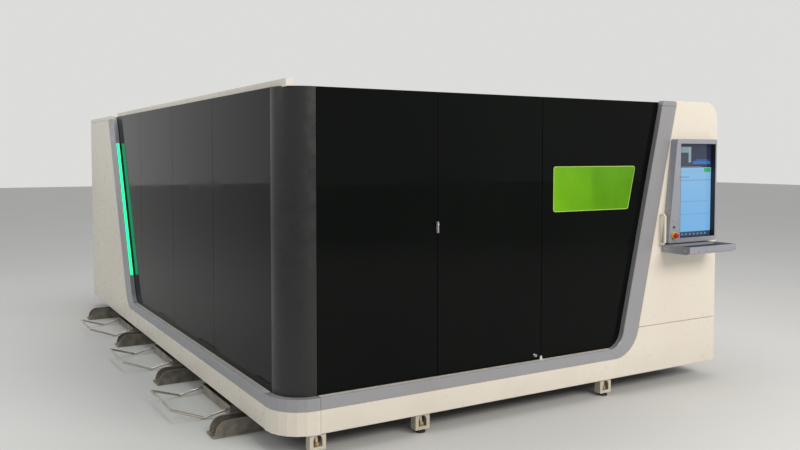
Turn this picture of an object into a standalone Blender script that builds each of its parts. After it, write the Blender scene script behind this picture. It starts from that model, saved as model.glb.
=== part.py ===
"""Fully enclosed fibre laser cutting machine, modelled at real size in metres, +Z up.

X runs along the short front face, Y runs back along the long glazed side, Z is up.
All places are measured from the sharp front-left corner of the enclosure on the floor,
and the empty "machine" moves them so that the origin is the middle of the footprint.
"""

import math

import bmesh
import bpy
from mathutils import Matrix, Vector

# Fits shared by the whole machine
GAP = 0.0003
OVERRUN = 0.02
DOOR_GAP = 0.003
EDGE = 0.004
ARC_STEPS = 6
FINE_SIDES = 16

# Enclosure
WIDTH = 3.54
DEPTH = 5.50
FLOOR_CLEARANCE = 0.12
SKIRT_HEIGHT = 0.135
SILL_HEIGHT = 0.072
VISOR_TOP = 2.040
ROOF_HEIGHT = 0.035
ROOF_SHEET = 0.004
CORNER_RADIUS = 0.22
CORNER_LEG = 0.02
SKIN = 0.025
SETBACK = 0.045
SHOULDER_RADIUS = 0.12
ROOF_RAIL_SIZE = (0.045, 0.030)
ROOF_RAIL_INSET = 0.07
ROOF_RAIL_END = 4.45

# Slanted trims that end the glazed visor
FRONT_TRIM_FOOT = 2.70
FRONT_TRIM_LEAN = 0.225
FRONT_TRIM_WIDTH = 0.14
SIDE_TRIM_FOOT = 3.80
SIDE_TRIM_LEAN = 0.43
SIDE_TRIM_WIDTH = 0.22
TRIM_OUTER_RADIUS = 0.22
TRIM_INNER_RADIUS = 0.13
TRIM_CLEARANCE = 0.003
SHOULDER_RISE = 0.20

# Glazing
GLASS = 0.010
PANE_TUCK = 0.025
SEAM = 0.004
FRONT_SEAMS = (1.05, 1.87)
SIDE_SEAMS = (1.29, 2.30, 3.36)
COLUMN_SHEET = 0.008
DOOR_TUBE = (0.040, 0.035)
DOOR_TUBE_INSET = 0.006
DOOR_PULL_SIZE = (0.012, 0.020, 0.070)
DOOR_PULL_HEIGHT = 1.21
WINDOW_LOW = 1.303
WINDOW_HIGH = 1.608
WINDOW_LEFT = 1.963
WINDOW_FOOT_RIGHT = 2.652
WINDOW_RADIUS = 0.02
WINDOW_FIT = 0.0005
WINDOW_PROUD = 0.002
LED_LOW = 0.57
LED_HIGH = 1.80
LED_WIDTH = 0.014
LED_DEPTH = 0.014
LED_SETBACK = 0.016

# Welded inner frame
TUBE = 0.05
TUBE_LAP = 0.008
RIGHT_FRAME_SETBACK = 0.090
FRONT_POSTS = (0.262, 1.845, 2.980)
REAR_POST = 1.80
SIDE_POSTS = (0.262, 2.275, 4.62)
RIGHT_POSTS = (3.20, 4.60)
SHELF_BEAMS = (3.60, 4.40)
SHELF_LEFT = 2.55

# Operator tower on the right of the front
CONSOLE_TOP = 1.80
CONSOLE_BOTTOM = 1.05
CONSOLE_RIGHT = 3.463
CONSOLE_LEFT_TOP = 3.037
CONSOLE_LEFT_BOTTOM = 2.955
CONSOLE_DEPTH = 0.060
CONSOLE_RADIUS = 0.012
SCREEN_LEFT = 3.073
SCREEN_RIGHT = 3.450
SCREEN_BOTTOM = 1.083
SCREEN_TOP = 1.767
SCREEN_POCKET = 0.052
SCREEN_THICKNESS = 0.012
ESTOP_PLACE = (3.012, 1.105)
ESTOP_COLLAR_RADIUS = 0.026
ESTOP_COLLAR_LENGTH = 0.010
ESTOP_STEM_RADIUS = 0.011
ESTOP_HEAD_RADIUS = 0.020
ESTOP_HEAD_LENGTH = 0.018
ESTOP_TRAVEL = 0.006
BUTTON_PLACE = (3.010, 1.165)
BUTTON_RADIUS = 0.008
BUTTON_LENGTH = 0.008
BUTTON_BEZEL_RADIUS = 0.012
BUTTON_BEZEL_LENGTH = 0.003
TRAY_LEFT = 2.950
TRAY_RIGHT = 3.442
TRAY_REACH = 0.255
TRAY_TOP = 1.040
TRAY_HEIGHT = 0.057
TRAY_NOSE = 0.030
TRAY_WALL = 0.006
TRAY_POCKET = 0.018
PULL_X = 2.938
PULL_LOW = 1.045
PULL_HIGH = 1.255
PULL_REACH = 0.042
PULL_RADIUS = 0.010

# Service doors on the hidden sides, each (start, end) along the wall
RIGHT_DOOR = (3.30, 4.50)
REAR_DOOR = (0.55, 1.55)
SERVICE_DOOR_HEIGHTS = (0.42, 1.84)
LOUVRE_COUNT = 8
LOUVRE_PITCH = 0.030
LOUVRE_SLOT = 0.010
LOUVRE_WIDTH = 0.36
LOUVRE_RISE = 0.20
FUME_PLACE = (2.75, 1.45)
FUME_RADIUS = 0.125
FUME_WALL = 0.004
FUME_REACH = 0.10
FUME_FLANGE = 0.035
FUME_FIT = 0.001

# Machine bed, drawers and feet
BED_BEAM_WIDTH = 0.18
BED_BEAM_HEIGHT = 0.30
BED_TOP = 0.90
BED_LEFT = 0.36
BED_SPAN = 1.98
BED_FRONT = 0.50
BED_REAR = 4.82
LEG = 0.12
LEG_PLACES = (0.62, 1.93, 3.31, 4.69)
CROSS_BEAM_HEIGHT = 0.12
CROSS_BEAM_TOP = 0.57
STRINGER = 0.06
STRINGER_BOTTOM = 0.16
FOOT_REACH = 0.20
FOOT_PLATE = 0.015
FOOT_WIDTH = 0.13
FOOT_RIB = 0.010
FOOT_RIB_HEIGHT = 0.100
FOOT_RIB_RADIUS = 0.080
GUIDE = 0.030
GUIDE_LENGTH = 0.22
TIE = 0.040
DRAWER_PLACES = (1.235, 2.620, 4.005)
DRAWER_WIDTH = 0.60
DRAWER_DEPTH = 1.40
DRAWER_START = 0.03
DRAWER_HEIGHT = 0.065
DRAWER_WALL = 0.006
DRAWER_BOTTOM = 0.006
DRAWER_LIP = 0.018
HANDLE_RADIUS = 0.008
HANDLE_REACH = 0.335
HANDLE_DIP_REACH = 0.135
HANDLE_DIP_HEIGHT = 0.010
HANDLE_GRIP_HEIGHT = 0.080
HANDLE_GRIP_SPREAD = 0.25
HANDLE_ARM_SPREAD = 0.285
HANDLE_ROOT_HEIGHT = 0.040
HANDLE_ROOT = 0.015
GRIP_FACET_SHARE = 0.7625
ENCLOSURE_FEET = (
    ("front_foot_left", "front", 0.235),
    ("front_foot_middle", "front", 0.930),
    ("front_foot_right", "front", 2.440),
    ("right_foot_front", "right", 0.600),
    ("right_foot_rear", "right", 4.950),
    ("rear_foot_left", "rear", 0.400),
)
BRACKET_WIDTH = 0.100
BRACKET_DEPTH = 0.055
BRACKET_SHEET = 0.006
BRACKET_LIFT = 0.022
BRACKET_ARCH_WIDTH = 0.056
BRACKET_ARCH_FOOT = 0.020
BOLT_RADIUS = 0.010
NUT_RADIUS = 0.019
NUT_HEIGHT = 0.014
PAD_RADIUS = 0.030
PAD_HEIGHT = 0.010

# Slatted cutting table
TABLE_LEFT = 0.60
TABLE_RIGHT = 2.10
TABLE_FRONT = 0.72
TABLE_REAR = 3.78
TABLE_RAIL = 0.03
TABLE_RAIL_HEIGHT = 0.18
SLAT_COUNT = 23
SLAT_THICKNESS = 0.004
SLAT_DEPTH = 0.10
SLAT_TOP = 0.80
TOOTH_COUNT = 12
TOOTH_HEIGHT = 0.022
TOOTH_TIP_SHARE = 0.25

# Gantry, carriage and cutting head
RAIL_WIDTH = 0.034
RAIL_HEIGHT = 0.030
RAIL_START = 0.56
RAIL_END = 4.76
RAIL_STRIP = 0.006
RACK_WIDTH = 0.024
RACK_HEIGHT = 0.024
RACK_SPACE = 0.020
GANTRY_PLACE = 4.25
BEAM_DEPTH = 0.20
BEAM_BOTTOM = 1.04
BEAM_HEIGHT = 0.24
BEAM_OVERHANG = 0.05
TRUCK_LENGTH = 0.50
TRUCK_LIP = 0.012
TRUCK_CLEARANCE = 0.001
X_RAIL = 0.022
X_RAIL_PLACES = (0.05, 0.19)
MOTOR_SIDE = 0.11
MOTOR_HEIGHT = 0.24
MOTOR_CAP_RADIUS = 0.045
MOTOR_CAP_HEIGHT = 0.05
CARRIAGE_X = 0.86
CARRIAGE_WIDTH = 0.24
CARRIAGE_HEIGHT = 0.30
CARRIAGE_THICKNESS = 0.030
Z_PLATE_WIDTH = 0.14
Z_PLATE_HEIGHT = 0.36
Z_PLATE_BOTTOM = 1.00
Z_PLATE_THICKNESS = 0.035
HEAD_RADIUS = 0.045
HEAD_TOP = 1.42
HEAD_SHOULDER = 1.06
HEAD_NECK = 1.00
HEAD_NECK_RADIUS = 0.028
NOZZLE_TOP = 0.97
NOZZLE_TIP = 0.935
NOZZLE_TOP_RADIUS = 0.016
NOZZLE_TIP_RADIUS = 0.004

# Electrical plate behind the tower door, and the laser source at the rear
PLATE_THICKNESS = 0.006
PLATE_LOW = 0.50
PLATE_HIGH = 1.90
PLATE_LEFT = 2.990
MODULE_DEPTH = 0.080
MODULE_ROWS = (0.62, 0.95, 1.28, 1.60)
MODULE_HEIGHT = 0.20
MODULE_COUNT = 4
MODULE_SPACE = 0.018
SOURCE_SIZE = (0.60, 1.00, 0.80)
SOURCE_LEFT = 2.72
SOURCE_FRONT = 3.50
SOURCE_FEET = 0.02
SOURCE_GRILLE_SLOTS = 6

# Heights and lines that follow from the sizes above
SKIRT_TOP = FLOOR_CLEARANCE + SKIRT_HEIGHT
SILL_TOP = SKIRT_TOP + SILL_HEIGHT
ROOF_TOP = VISOR_TOP + ROOF_HEIGHT
LEG_END = CORNER_RADIUS + CORNER_LEG
PANE_FRONT = SETBACK + GAP
PANE_BACK = PANE_FRONT + GLASS
FRONT_RING_SETBACK = PANE_BACK + DOOR_TUBE[1] + 2 * GAP
SHOULDER_START = WIDTH - SHOULDER_RADIUS
HANDLE_TIP = HANDLE_REACH + HANDLE_RADIUS * GRIP_FACET_SHARE
FUME_END = DEPTH + FUME_REACH
CENTRE = Vector(((WIDTH - HANDLE_TIP) / 2, (FUME_END - TRAY_REACH) / 2, 0))


def front_trim_x(height):
    """Outer edge of the slanted front trim at a height."""
    return FRONT_TRIM_FOOT + FRONT_TRIM_LEAN * (height - SILL_TOP)


def side_trim_y(height):
    """Outer edge of the slanted side trim at a height."""
    return SIDE_TRIM_FOOT + SIDE_TRIM_LEAN * (height - SILL_TOP)


PLANES = {
    "XY": Matrix.Identity(3),
    "XZ": Matrix(((1, 0, 0), (0, 0, -1), (0, 1, 0))),
    "YZ": Matrix(((0, 0, 1), (1, 0, 0), (0, 1, 0))),
}
MATERIALS = {}
PLACES = {}


def clear_scene():
    for obj in list(bpy.data.objects):
        bpy.data.objects.remove(obj, do_unlink=True)


def collection(name, hidden=False):
    made = bpy.data.collections.new(name)
    bpy.context.scene.collection.children.link(made)
    made.hide_render = hidden
    return made


def material(name, colour, roughness, metallic=0.0):
    if name not in MATERIALS:
        made = bpy.data.materials.new(name)
        made.use_nodes = True
        shader = made.node_tree.nodes["Principled BSDF"]
        shader.inputs["Base Color"].default_value = (*colour, 1.0)
        shader.inputs["Roughness"].default_value = roughness
        shader.inputs["Metallic"].default_value = metallic
        MATERIALS[name] = made
    return MATERIALS[name]


clear_scene()
PARTS = collection("fiber_laser_cutting_machine")
CUTTERS = collection("cutters", hidden=True)

CREAM = material("cream_enamel", (0.80, 0.77, 0.70), 0.35)
GREY = material("grey_enamel", (0.42, 0.43, 0.45), 0.40)
BLACK_GLOSS = material("black_glass", (0.012, 0.014, 0.013), 0.06)
BLACK_SATIN = material("black_satin", (0.02, 0.02, 0.022), 0.30)
BLACK_STEEL = material("black_steel", (0.03, 0.03, 0.03), 0.45, 0.3)
GREEN_GLASS = material("green_laser_glass", (0.14, 0.40, 0.02), 0.08)
LED_GREEN = material("led_diffuser", (0.02, 0.75, 0.45), 0.30)
SILVER = material("silver_enamel", (0.52, 0.54, 0.58), 0.35)
SCREEN = material("screen_glass", (0.25, 0.55, 0.90), 0.10)
RED = material("red_plastic", (0.60, 0.02, 0.02), 0.30)
YELLOW = material("yellow_plastic", (0.85, 0.70, 0.20), 0.40)
BLACK_PLASTIC = material("black_plastic", (0.02, 0.02, 0.02), 0.40)
CAST_GREY = material("bed_paint", (0.20, 0.20, 0.19), 0.55)
STEEL = material("mill_steel", (0.45, 0.43, 0.40), 0.45, 0.8)
BRIGHT_STEEL = material("ground_steel", (0.62, 0.62, 0.62), 0.25, 1.0)
COPPER = material("copper", (0.72, 0.36, 0.20), 0.30, 1.0)
ALUMINIUM = material("aluminium", (0.70, 0.71, 0.72), 0.35, 0.9)

MACHINE = bpy.data.objects.new("machine", None)
MACHINE.location = -CENTRE
PARTS.objects.link(MACHINE)


def new_object(name, mesh, finish=None):
    made = bpy.data.objects.new(name, mesh)
    if finish is None:
        CUTTERS.objects.link(made)
        made.hide_render = True
        made.display_type = "WIRE"
    else:
        PARTS.objects.link(made)
        mesh.materials.clear()
        mesh.materials.append(finish)
    made.parent = MACHINE
    return made


def block(name, low, high, finish=None, edge=0.0):
    """Box between two corners, with rounded edges where edge is given."""
    low, high = Vector(low), Vector(high)
    mesh = bpy.data.meshes.new(name)
    shape = bmesh.new()
    bmesh.ops.create_cube(shape, size=1.0)
    shape.to_mesh(mesh)
    shape.free()
    size = high - low
    mesh.transform(Matrix.Translation((low + high) / 2) @ Matrix.Diagonal((*size, 1)))
    made = new_object(name, mesh, finish)
    if edge:
        round_edges(made, edge)
    return made


def round_edges(obj, width, segments=1):
    bevel = obj.modifiers.new("rounded_edges", "BEVEL")
    bevel.width = width
    bevel.segments = segments
    bevel.limit_method = "ANGLE"
    bevel.angle_limit = math.radians(40)


def along(axis):
    """Turn that lays a shape made along +Z on the given axis."""
    return Vector(axis).to_track_quat("Z", "Y").to_matrix().to_4x4()


def disc(name, base, axis, radius, length, finish=None, end_radius=None, sides=FINE_SIDES):
    """Cylinder or cone that starts at base and runs along axis."""
    mesh = bpy.data.meshes.new(name)
    shape = bmesh.new()
    bmesh.ops.create_cone(
        shape,
        cap_ends=True,
        segments=sides,
        radius1=radius,
        radius2=radius if end_radius is None else end_radius,
        depth=length,
    )
    shape.to_mesh(mesh)
    shape.free()
    turn = along(axis)
    mesh.transform(Matrix.Translation(Vector(base)) @ turn @ Matrix.Translation((0, 0, length / 2)))
    made = new_object(name, mesh, finish)
    if finish:
        smooth(made)
    return made


def smooth(obj):
    obj.data.shade_smooth()
    obj.data.set_sharp_from_angle(angle=math.radians(35))


def rounded(corners):
    """Outline through (x, y, radius) corners, with an arc at each one that has a radius."""
    points = []
    count = len(corners)
    for i, (x, y, radius) in enumerate(corners):
        here = Vector((x, y))
        before = (Vector(corners[i - 1][:2]) - here).normalized()
        after = (Vector(corners[(i + 1) % count][:2]) - here).normalized()
        if radius <= 0:
            points.append(here)
            continue
        half = before.angle(after) / 2
        centre = here + (before + after).normalized() * (radius / math.sin(half))
        start = here + before * (radius / math.tan(half))
        sweep = (start - centre).angle_signed(here + after * (radius / math.tan(half)) - centre)
        for step in range(ARC_STEPS + 1):
            spoke = start - centre
            spoke.rotate(Matrix.Rotation(-sweep * step / ARC_STEPS, 2))
            points.append(centre + spoke)
    return points


def rectangle(low, high, radius=0.0):
    return rounded(
        [
            (low[0], low[1], radius),
            (high[0], low[1], radius),
            (high[0], high[1], radius),
            (low[0], high[1], radius),
        ]
    )


def solid_of(curve_object, name, finish, turn):
    """Mesh object made from a curve, with its loose caps welded on."""
    CUTTERS.objects.link(curve_object)
    graph = bpy.context.evaluated_depsgraph_get()
    mesh = bpy.data.meshes.new_from_object(curve_object.evaluated_get(graph))
    mesh.name = name
    mesh.transform(turn)
    shape = bmesh.new()
    shape.from_mesh(mesh)
    bmesh.ops.remove_doubles(shape, verts=shape.verts, dist=GAP / 10)
    bmesh.ops.recalc_face_normals(shape, faces=shape.faces)
    shape.to_mesh(mesh)
    shape.free()
    bpy.data.objects.remove(curve_object, do_unlink=True)
    return new_object(name, mesh, finish)


def plate(name, outlines, low, high, plane="XY", finish=None):
    """Flat outline, with holes where further outlines lie inside it, between two levels."""
    curve = bpy.data.curves.new(name, "CURVE")
    curve.dimensions = "2D"
    curve.fill_mode = "BOTH"
    curve.extrude = (high - low) / 2
    for outline in outlines:
        spline = curve.splines.new("POLY")
        spline.points.add(len(outline) - 1)
        for point, place in zip(spline.points, outline):
            point.co = (place[0], place[1], 0, 1)
        spline.use_cyclic_u = True
    turn = PLANES[plane].to_4x4()
    middle = (low + high) / 2
    shift = {"XY": (0, 0, middle), "XZ": (0, middle, 0), "YZ": (middle, 0, 0)}[plane]
    return solid_of(
        bpy.data.objects.new(name, curve), name, finish, Matrix.Translation(shift) @ turn
    )


def bar(name, points, radius, finish=None, resolution=2):
    """Bent round bar through the points."""
    curve = bpy.data.curves.new(name, "CURVE")
    curve.dimensions = "3D"
    curve.bevel_depth = radius
    curve.bevel_resolution = resolution
    curve.use_fill_caps = True
    spline = curve.splines.new("POLY")
    spline.points.add(len(points) - 1)
    for point, place in zip(spline.points, points):
        point.co = (*place, 1)
    made = solid_of(bpy.data.objects.new(name, curve), name, finish, Matrix.Identity(4))
    if finish:
        smooth(made)
    return made


def combine(obj, others, operation):
    for other in others:
        step = obj.modifiers.new(f"{operation.lower()}_{other.name}", "BOOLEAN")
        step.operation = operation
        step.solver = "EXACT"
        step.object = other
    return obj


def cut(obj, *cutters):
    return combine(obj, cutters, "DIFFERENCE")


def weld(obj, *others):
    return combine(obj, others, "UNION")


def weld_group(obj, name, others):
    """Union with many like pieces at once."""
    group = bpy.data.collections.new(name)
    CUTTERS.children.link(group)
    for other in others:
        group.objects.link(other)
    step = obj.modifiers.new(name, "BOOLEAN")
    step.operation = "UNION"
    step.solver = "EXACT"
    step.operand_type = "COLLECTION"
    step.collection = group
    return obj


def axis_empty(name, place, parent=None):
    """Empty on a joint's axis. The pieces that turn or slide with it are its children."""
    made = bpy.data.objects.new(name, None)
    PARTS.objects.link(made)
    made.parent = parent or MACHINE
    made.location = Vector(place) - PLACES.get(made.parent.name, Vector())
    PLACES[name] = Vector(place)
    return made


def carry(empty, *pieces):
    for piece in pieces:
        piece.parent = empty
        piece.location = -PLACES[empty.name]


def arch_outline(left, right, foot, top):
    """Opening with a half-round top."""
    radius = (right - left) / 2
    return rounded(
        [
            (left, foot, 0),
            (right, foot, 0),
            (right, top, radius * 0.98),
            (left, top, radius * 0.98),
        ]
    )


def corner_band(name, outer, inner, low, high, finish):
    """Quarter-round wall at the front-left corner, between two set-backs from the faces."""
    outline = rounded(
        [
            (outer, LEG_END - GAP, 0),
            (outer, outer, CORNER_RADIUS - outer),
            (LEG_END - GAP, outer, 0),
            (LEG_END - GAP, inner, 0),
            (inner, inner, CORNER_RADIUS - inner),
            (inner, LEG_END - GAP, 0),
        ]
    )
    made = plate(name, [outline], low, high, "XY", finish)
    smooth(made)
    return made


def trim_outline(edge, width, start, foot_gap):
    """Sill with the slanted trim that rises from its far end."""
    top = VISOR_TOP - GAP
    low = SKIRT_TOP + foot_gap
    return rounded(
        [
            (start, low, 0),
            (edge(low), low, TRIM_OUTER_RADIUS),
            (edge(top), top, 0),
            (edge(top) - width, top, 0),
            (edge(SILL_TOP) - width, SILL_TOP, TRIM_INNER_RADIUS),
            (start, SILL_TOP, 0),
        ]
    )


def skin_outline(edge, start, far, top):
    """Skirt whose far part rises beside the slanted trim."""
    margin = TRIM_CLEARANCE
    return rounded(
        [
            (start, FLOOR_CLEARANCE, 0),
            (far, FLOOR_CLEARANCE, 0),
            (far, top, 0),
            (edge(top) + margin, top, 0),
            (edge(SKIRT_TOP) + margin, SKIRT_TOP, TRIM_OUTER_RADIUS + margin),
            (start, SKIRT_TOP, 0),
        ]
    )


def build_skins():
    corner_band("skirt_corner", 0, SKIN, FLOOR_CLEARANCE, SKIRT_TOP, CREAM)
    shoulder = SKIRT_TOP + SHOULDER_RISE
    front = plate(
        "skirt_front", [skin_outline(front_trim_x, LEG_END, WIDTH, shoulder)], 0, SKIN, "XZ", CREAM
    )
    round_edges(front, EDGE)
    side = plate(
        "left_side_panel",
        [skin_outline(side_trim_y, LEG_END, DEPTH - SKIN - GAP, VISOR_TOP - GAP)],
        0,
        SKIN,
        "YZ",
        CREAM,
    )
    round_edges(side, EDGE)
    corner_band("sill_corner", 0, SETBACK, SKIRT_TOP + GAP, SILL_TOP, GREY)
    sill = trim_outline(front_trim_x, FRONT_TRIM_WIDTH, LEG_END, GAP)
    round_edges(plate("front_sill_trim", [sill], 0, SETBACK, "XZ", GREY), EDGE)
    sill = trim_outline(side_trim_y, SIDE_TRIM_WIDTH, LEG_END, GAP)
    round_edges(plate("left_sill_trim", [sill], 0, SETBACK, "YZ", GREY), EDGE)
    corner_band(
        "corner_column",
        PANE_FRONT,
        PANE_FRONT + COLUMN_SHEET,
        SILL_TOP - PANE_TUCK,
        VISOR_TOP + PANE_TUCK,
        BLACK_SATIN,
    )


def build_roof():
    notch = front_trim_x(VISOR_TOP)
    outline = rounded(
        [
            (0, 0, CORNER_RADIUS),
            (notch, 0, 0),
            (notch, SKIN + GAP, 0),
            (SHOULDER_START - GAP, SKIN + GAP, 0),
            (SHOULDER_START - GAP, DEPTH - SKIN - GAP, 0),
            (0, DEPTH - SKIN - GAP, 0),
        ]
    )
    roof = plate("roof", [outline], VISOR_TOP, ROOF_TOP, "XY", CREAM)
    pocket = rounded(
        [
            (SETBACK, SETBACK, CORNER_RADIUS - SETBACK),
            (SHOULDER_START - SETBACK, SETBACK, 0),
            (SHOULDER_START - SETBACK, DEPTH - SKIN - SETBACK, 0),
            (SETBACK, DEPTH - SKIN - SETBACK, 0),
        ]
    )
    cut(roof, plate("roof_pocket", [pocket], VISOR_TOP - OVERRUN, ROOF_TOP - ROOF_SHEET))
    width, height = ROOF_RAIL_SIZE
    rail = block(
        "roof_rail",
        (ROOF_RAIL_INSET, ROOF_RAIL_INSET, ROOF_TOP - ROOF_SHEET / 2),
        (ROOF_RAIL_INSET + width, ROOF_RAIL_END, ROOF_TOP + height),
    )
    weld(roof, rail)
    round_edges(roof, ROOF_SHEET / 2, 1)


def shoulder_outline(left_low, left_high, low):
    """Wall face that ends at the rounded shoulder between the right side and the roof."""
    return rounded(
        [
            (left_low, low, 0),
            (WIDTH, low, 0),
            (WIDTH, ROOF_TOP, SHOULDER_RADIUS),
            (left_high, ROOF_TOP, 0),
        ]
    )


def louvres(name, middle, foot, plane, level):
    """Row of slots through a door."""
    slots = []
    for i in range(LOUVRE_COUNT):
        low = foot + i * LOUVRE_PITCH
        size = LOUVRE_WIDTH / 2
        outline = rectangle((middle - size, low), (middle + size, low + LOUVRE_SLOT))
        ends = (level - OVERRUN, level + SKIN + OVERRUN)
        slots.append(plate(f"{name}_{i + 1}", [outline], *ends, plane))
    return slots


def build_service_side():
    """Right and rear walls with their service doors."""
    low, high = SERVICE_DOOR_HEIGHTS
    ring = rounded(
        [
            (WIDTH - SKIN, FLOOR_CLEARANCE, 0),
            (WIDTH, FLOOR_CLEARANCE, 0),
            (WIDTH, ROOF_TOP, SHOULDER_RADIUS),
            (SHOULDER_START, ROOF_TOP, 0),
            (SHOULDER_START, ROOF_TOP - SKIN, 0),
            (WIDTH - SKIN, ROOF_TOP - SKIN, SHOULDER_RADIUS - SKIN),
        ]
    )
    wall = plate("right_panel", [ring], SKIN + GAP, DEPTH - SKIN - GAP, "XZ", CREAM)
    start, end = RIGHT_DOOR
    hole = block(
        "right_door_hole",
        (WIDTH - SKIN - OVERRUN, start - GAP, low - DOOR_GAP),
        (WIDTH + OVERRUN, end + DOOR_GAP, high + DOOR_GAP),
    )
    cut(wall, hole)
    smooth(wall)
    door = plate(
        "right_service_door",
        [rectangle((start, low), (end, high))],
        WIDTH - SKIN,
        WIDTH,
        "YZ",
        CREAM,
    )
    middle = (start + end) / 2
    cut(door, *louvres("right_louvre", middle, low + LOUVRE_RISE, "YZ", WIDTH - SKIN))
    carry(axis_empty("right_service_door_hinge", (WIDTH, start, 0)), door)

    back = plate(
        "rear_panel",
        [shoulder_outline(0, 0, FLOOR_CLEARANCE)],
        DEPTH - SKIN,
        DEPTH,
        "XZ",
        CREAM,
    )
    start, end = REAR_DOOR
    hole = block(
        "rear_door_hole",
        (start - GAP, DEPTH - SKIN - OVERRUN, low - DOOR_GAP),
        (end + DOOR_GAP, DEPTH + OVERRUN, high + DOOR_GAP),
    )
    x, z = FUME_PLACE
    duct_hole = disc(
        "fume_hole",
        (x, DEPTH - SKIN - OVERRUN, z),
        (0, 1, 0),
        FUME_RADIUS + FUME_FIT,
        SKIN + 2 * OVERRUN,
        sides=2 * FINE_SIDES,
    )
    cut(back, hole, duct_hole)
    door = plate(
        "rear_service_door",
        [rectangle((start, low), (end, high))],
        DEPTH - SKIN,
        DEPTH,
        "XZ",
        CREAM,
    )
    middle = (start + end) / 2
    cut(door, *louvres("rear_louvre", middle, low + LOUVRE_RISE, "XZ", DEPTH - SKIN))
    carry(axis_empty("rear_service_door_hinge", (start, DEPTH, 0)), door)

    sides = 2 * FINE_SIDES
    inner_end = DEPTH - SKIN - FUME_FLANGE
    duct = disc(
        "fume_outlet",
        (x, inner_end, z),
        (0, 1, 0),
        FUME_RADIUS,
        FUME_END - inner_end,
        STEEL,
        sides=sides,
    )
    flange = disc(
        "fume_flange",
        (x, DEPTH + GAP, z),
        (0, 1, 0),
        FUME_RADIUS + FUME_FLANGE,
        BRACKET_SHEET,
        sides=sides,
    )
    bore = disc(
        "fume_bore",
        (x, inner_end - OVERRUN, z),
        (0, 1, 0),
        FUME_RADIUS - FUME_WALL,
        FUME_END - inner_end + 2 * OVERRUN,
        sides=sides,
    )
    weld(duct, flange)
    cut(duct, bore)


def pane_outline(left, right_low, right_high, low, high):
    return [
        Vector((left, low)),
        Vector((right_low, low)),
        Vector((right_high, high)),
        Vector((left, high)),
    ]


def slant_right(edge, width, height):
    """Far edge of a pane that tucks in behind the slanted trim."""
    return edge(height) - width + PANE_TUCK


def build_front_door(name, left, right, hinge_x, pull_x=None):
    low, high = SILL_TOP + DOOR_GAP, VISOR_TOP - DOOR_GAP
    pane = block(f"{name}_pane", (left, PANE_FRONT, low), (right, PANE_BACK, high), BLACK_GLOSS)
    inset = DOOR_TUBE_INSET
    width, depth = DOOR_TUBE
    outer = rectangle((left + inset, low + inset), (right - inset, high - inset))
    inner = rectangle(
        (left + inset + width, low + inset + width), (right - inset - width, high - inset - width)
    )
    start = PANE_BACK + GAP
    stile = plate(f"{name}_frame", [outer, inner], start, start + depth, "XZ", BLACK_STEEL)
    hinge = axis_empty(f"{name}_hinge", (hinge_x, PANE_FRONT, 0))
    carry(hinge, pane, stile)
    if pull_x is not None:
        size = DOOR_PULL_SIZE
        low_corner = (pull_x - size[0], PANE_FRONT - GAP - size[1], DOOR_PULL_HEIGHT)
        high_corner = (pull_x, PANE_FRONT - GAP, DOOR_PULL_HEIGHT + size[2])
        pull = block("front_door_pull", low_corner, high_corner, SILVER, size[0] / 4)
        carry(hinge, pull)


def build_visor():
    """Dark glazing: a double door and a fixed pane in front, four fixed panes along the side."""
    middle, right = FRONT_SEAMS
    half = SEAM / 2
    left = LEG_END + DOOR_GAP
    build_front_door("front_door_left", left, middle - half, left, middle - half)
    build_front_door("front_door_right", middle + half, right - half, right - half)
    low, high = SILL_TOP - PANE_TUCK, VISOR_TOP + PANE_TUCK
    front_right = (
        slant_right(front_trim_x, FRONT_TRIM_WIDTH, low),
        slant_right(front_trim_x, FRONT_TRIM_WIDTH, high),
    )
    window_lean = FRONT_TRIM_LEAN * (WINDOW_HIGH - WINDOW_LOW)

    def window(inset):
        return rounded(
            [
                (WINDOW_LEFT + inset, WINDOW_LOW + inset, WINDOW_RADIUS),
                (WINDOW_FOOT_RIGHT - inset, WINDOW_LOW + inset, WINDOW_RADIUS),
                (WINDOW_FOOT_RIGHT + window_lean - inset, WINDOW_HIGH - inset, WINDOW_RADIUS),
                (WINDOW_LEFT + inset, WINDOW_HIGH - inset, WINDOW_RADIUS),
            ]
        )

    outline = pane_outline(right + half, *front_right, low, high)
    plate(
        "front_fixed_pane", [outline, window(0)], PANE_FRONT, PANE_BACK, "XZ", BLACK_GLOSS
    )
    plate(
        "laser_window",
        [window(WINDOW_FIT)],
        PANE_FRONT - WINDOW_PROUD,
        PANE_BACK,
        "XZ",
        GREEN_GLASS,
    )
    starts = [LEG_END + DOOR_GAP] + [seam + half for seam in SIDE_SEAMS]
    ends = [(seam - half, seam - half) for seam in SIDE_SEAMS]
    ends.append(
        (
            slant_right(side_trim_y, SIDE_TRIM_WIDTH, low),
            slant_right(side_trim_y, SIDE_TRIM_WIDTH, high),
        )
    )
    for i, (start, end) in enumerate(zip(starts, ends)):
        outline = pane_outline(start, *end, low, high)
        plate(f"left_pane_{i + 1}", [outline], PANE_FRONT, PANE_BACK, "YZ", BLACK_GLOSS)

    def return_y(height):
        return side_trim_y(height) - SIDE_TRIM_WIDTH - GAP

    strip = [
        (return_y(LED_LOW) - LED_WIDTH, LED_LOW),
        (return_y(LED_LOW), LED_LOW),
        (return_y(LED_HIGH), LED_HIGH),
        (return_y(LED_HIGH) - LED_WIDTH, LED_HIGH),
    ]
    plate("led_strip", [strip], LED_SETBACK, LED_SETBACK + LED_DEPTH, "YZ", LED_GREEN)


def ring_outlines(left, front, right, rear, widths):
    """Outer and inner outline of a ring whose sides have their own widths."""
    radius = CORNER_RADIUS - SKIN - GAP
    outer = rounded([(left, front, radius), (right, front, 0), (right, rear, 0), (left, rear, 0)])
    near = (left + widths[0], front + widths[1])
    far = (right - widths[2], rear - widths[3])
    inner = [(*near, radius - TUBE), (far[0], near[1], 0), (*far, 0), (near[0], far[1], 0)]
    return [outer, rounded(inner)]


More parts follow.
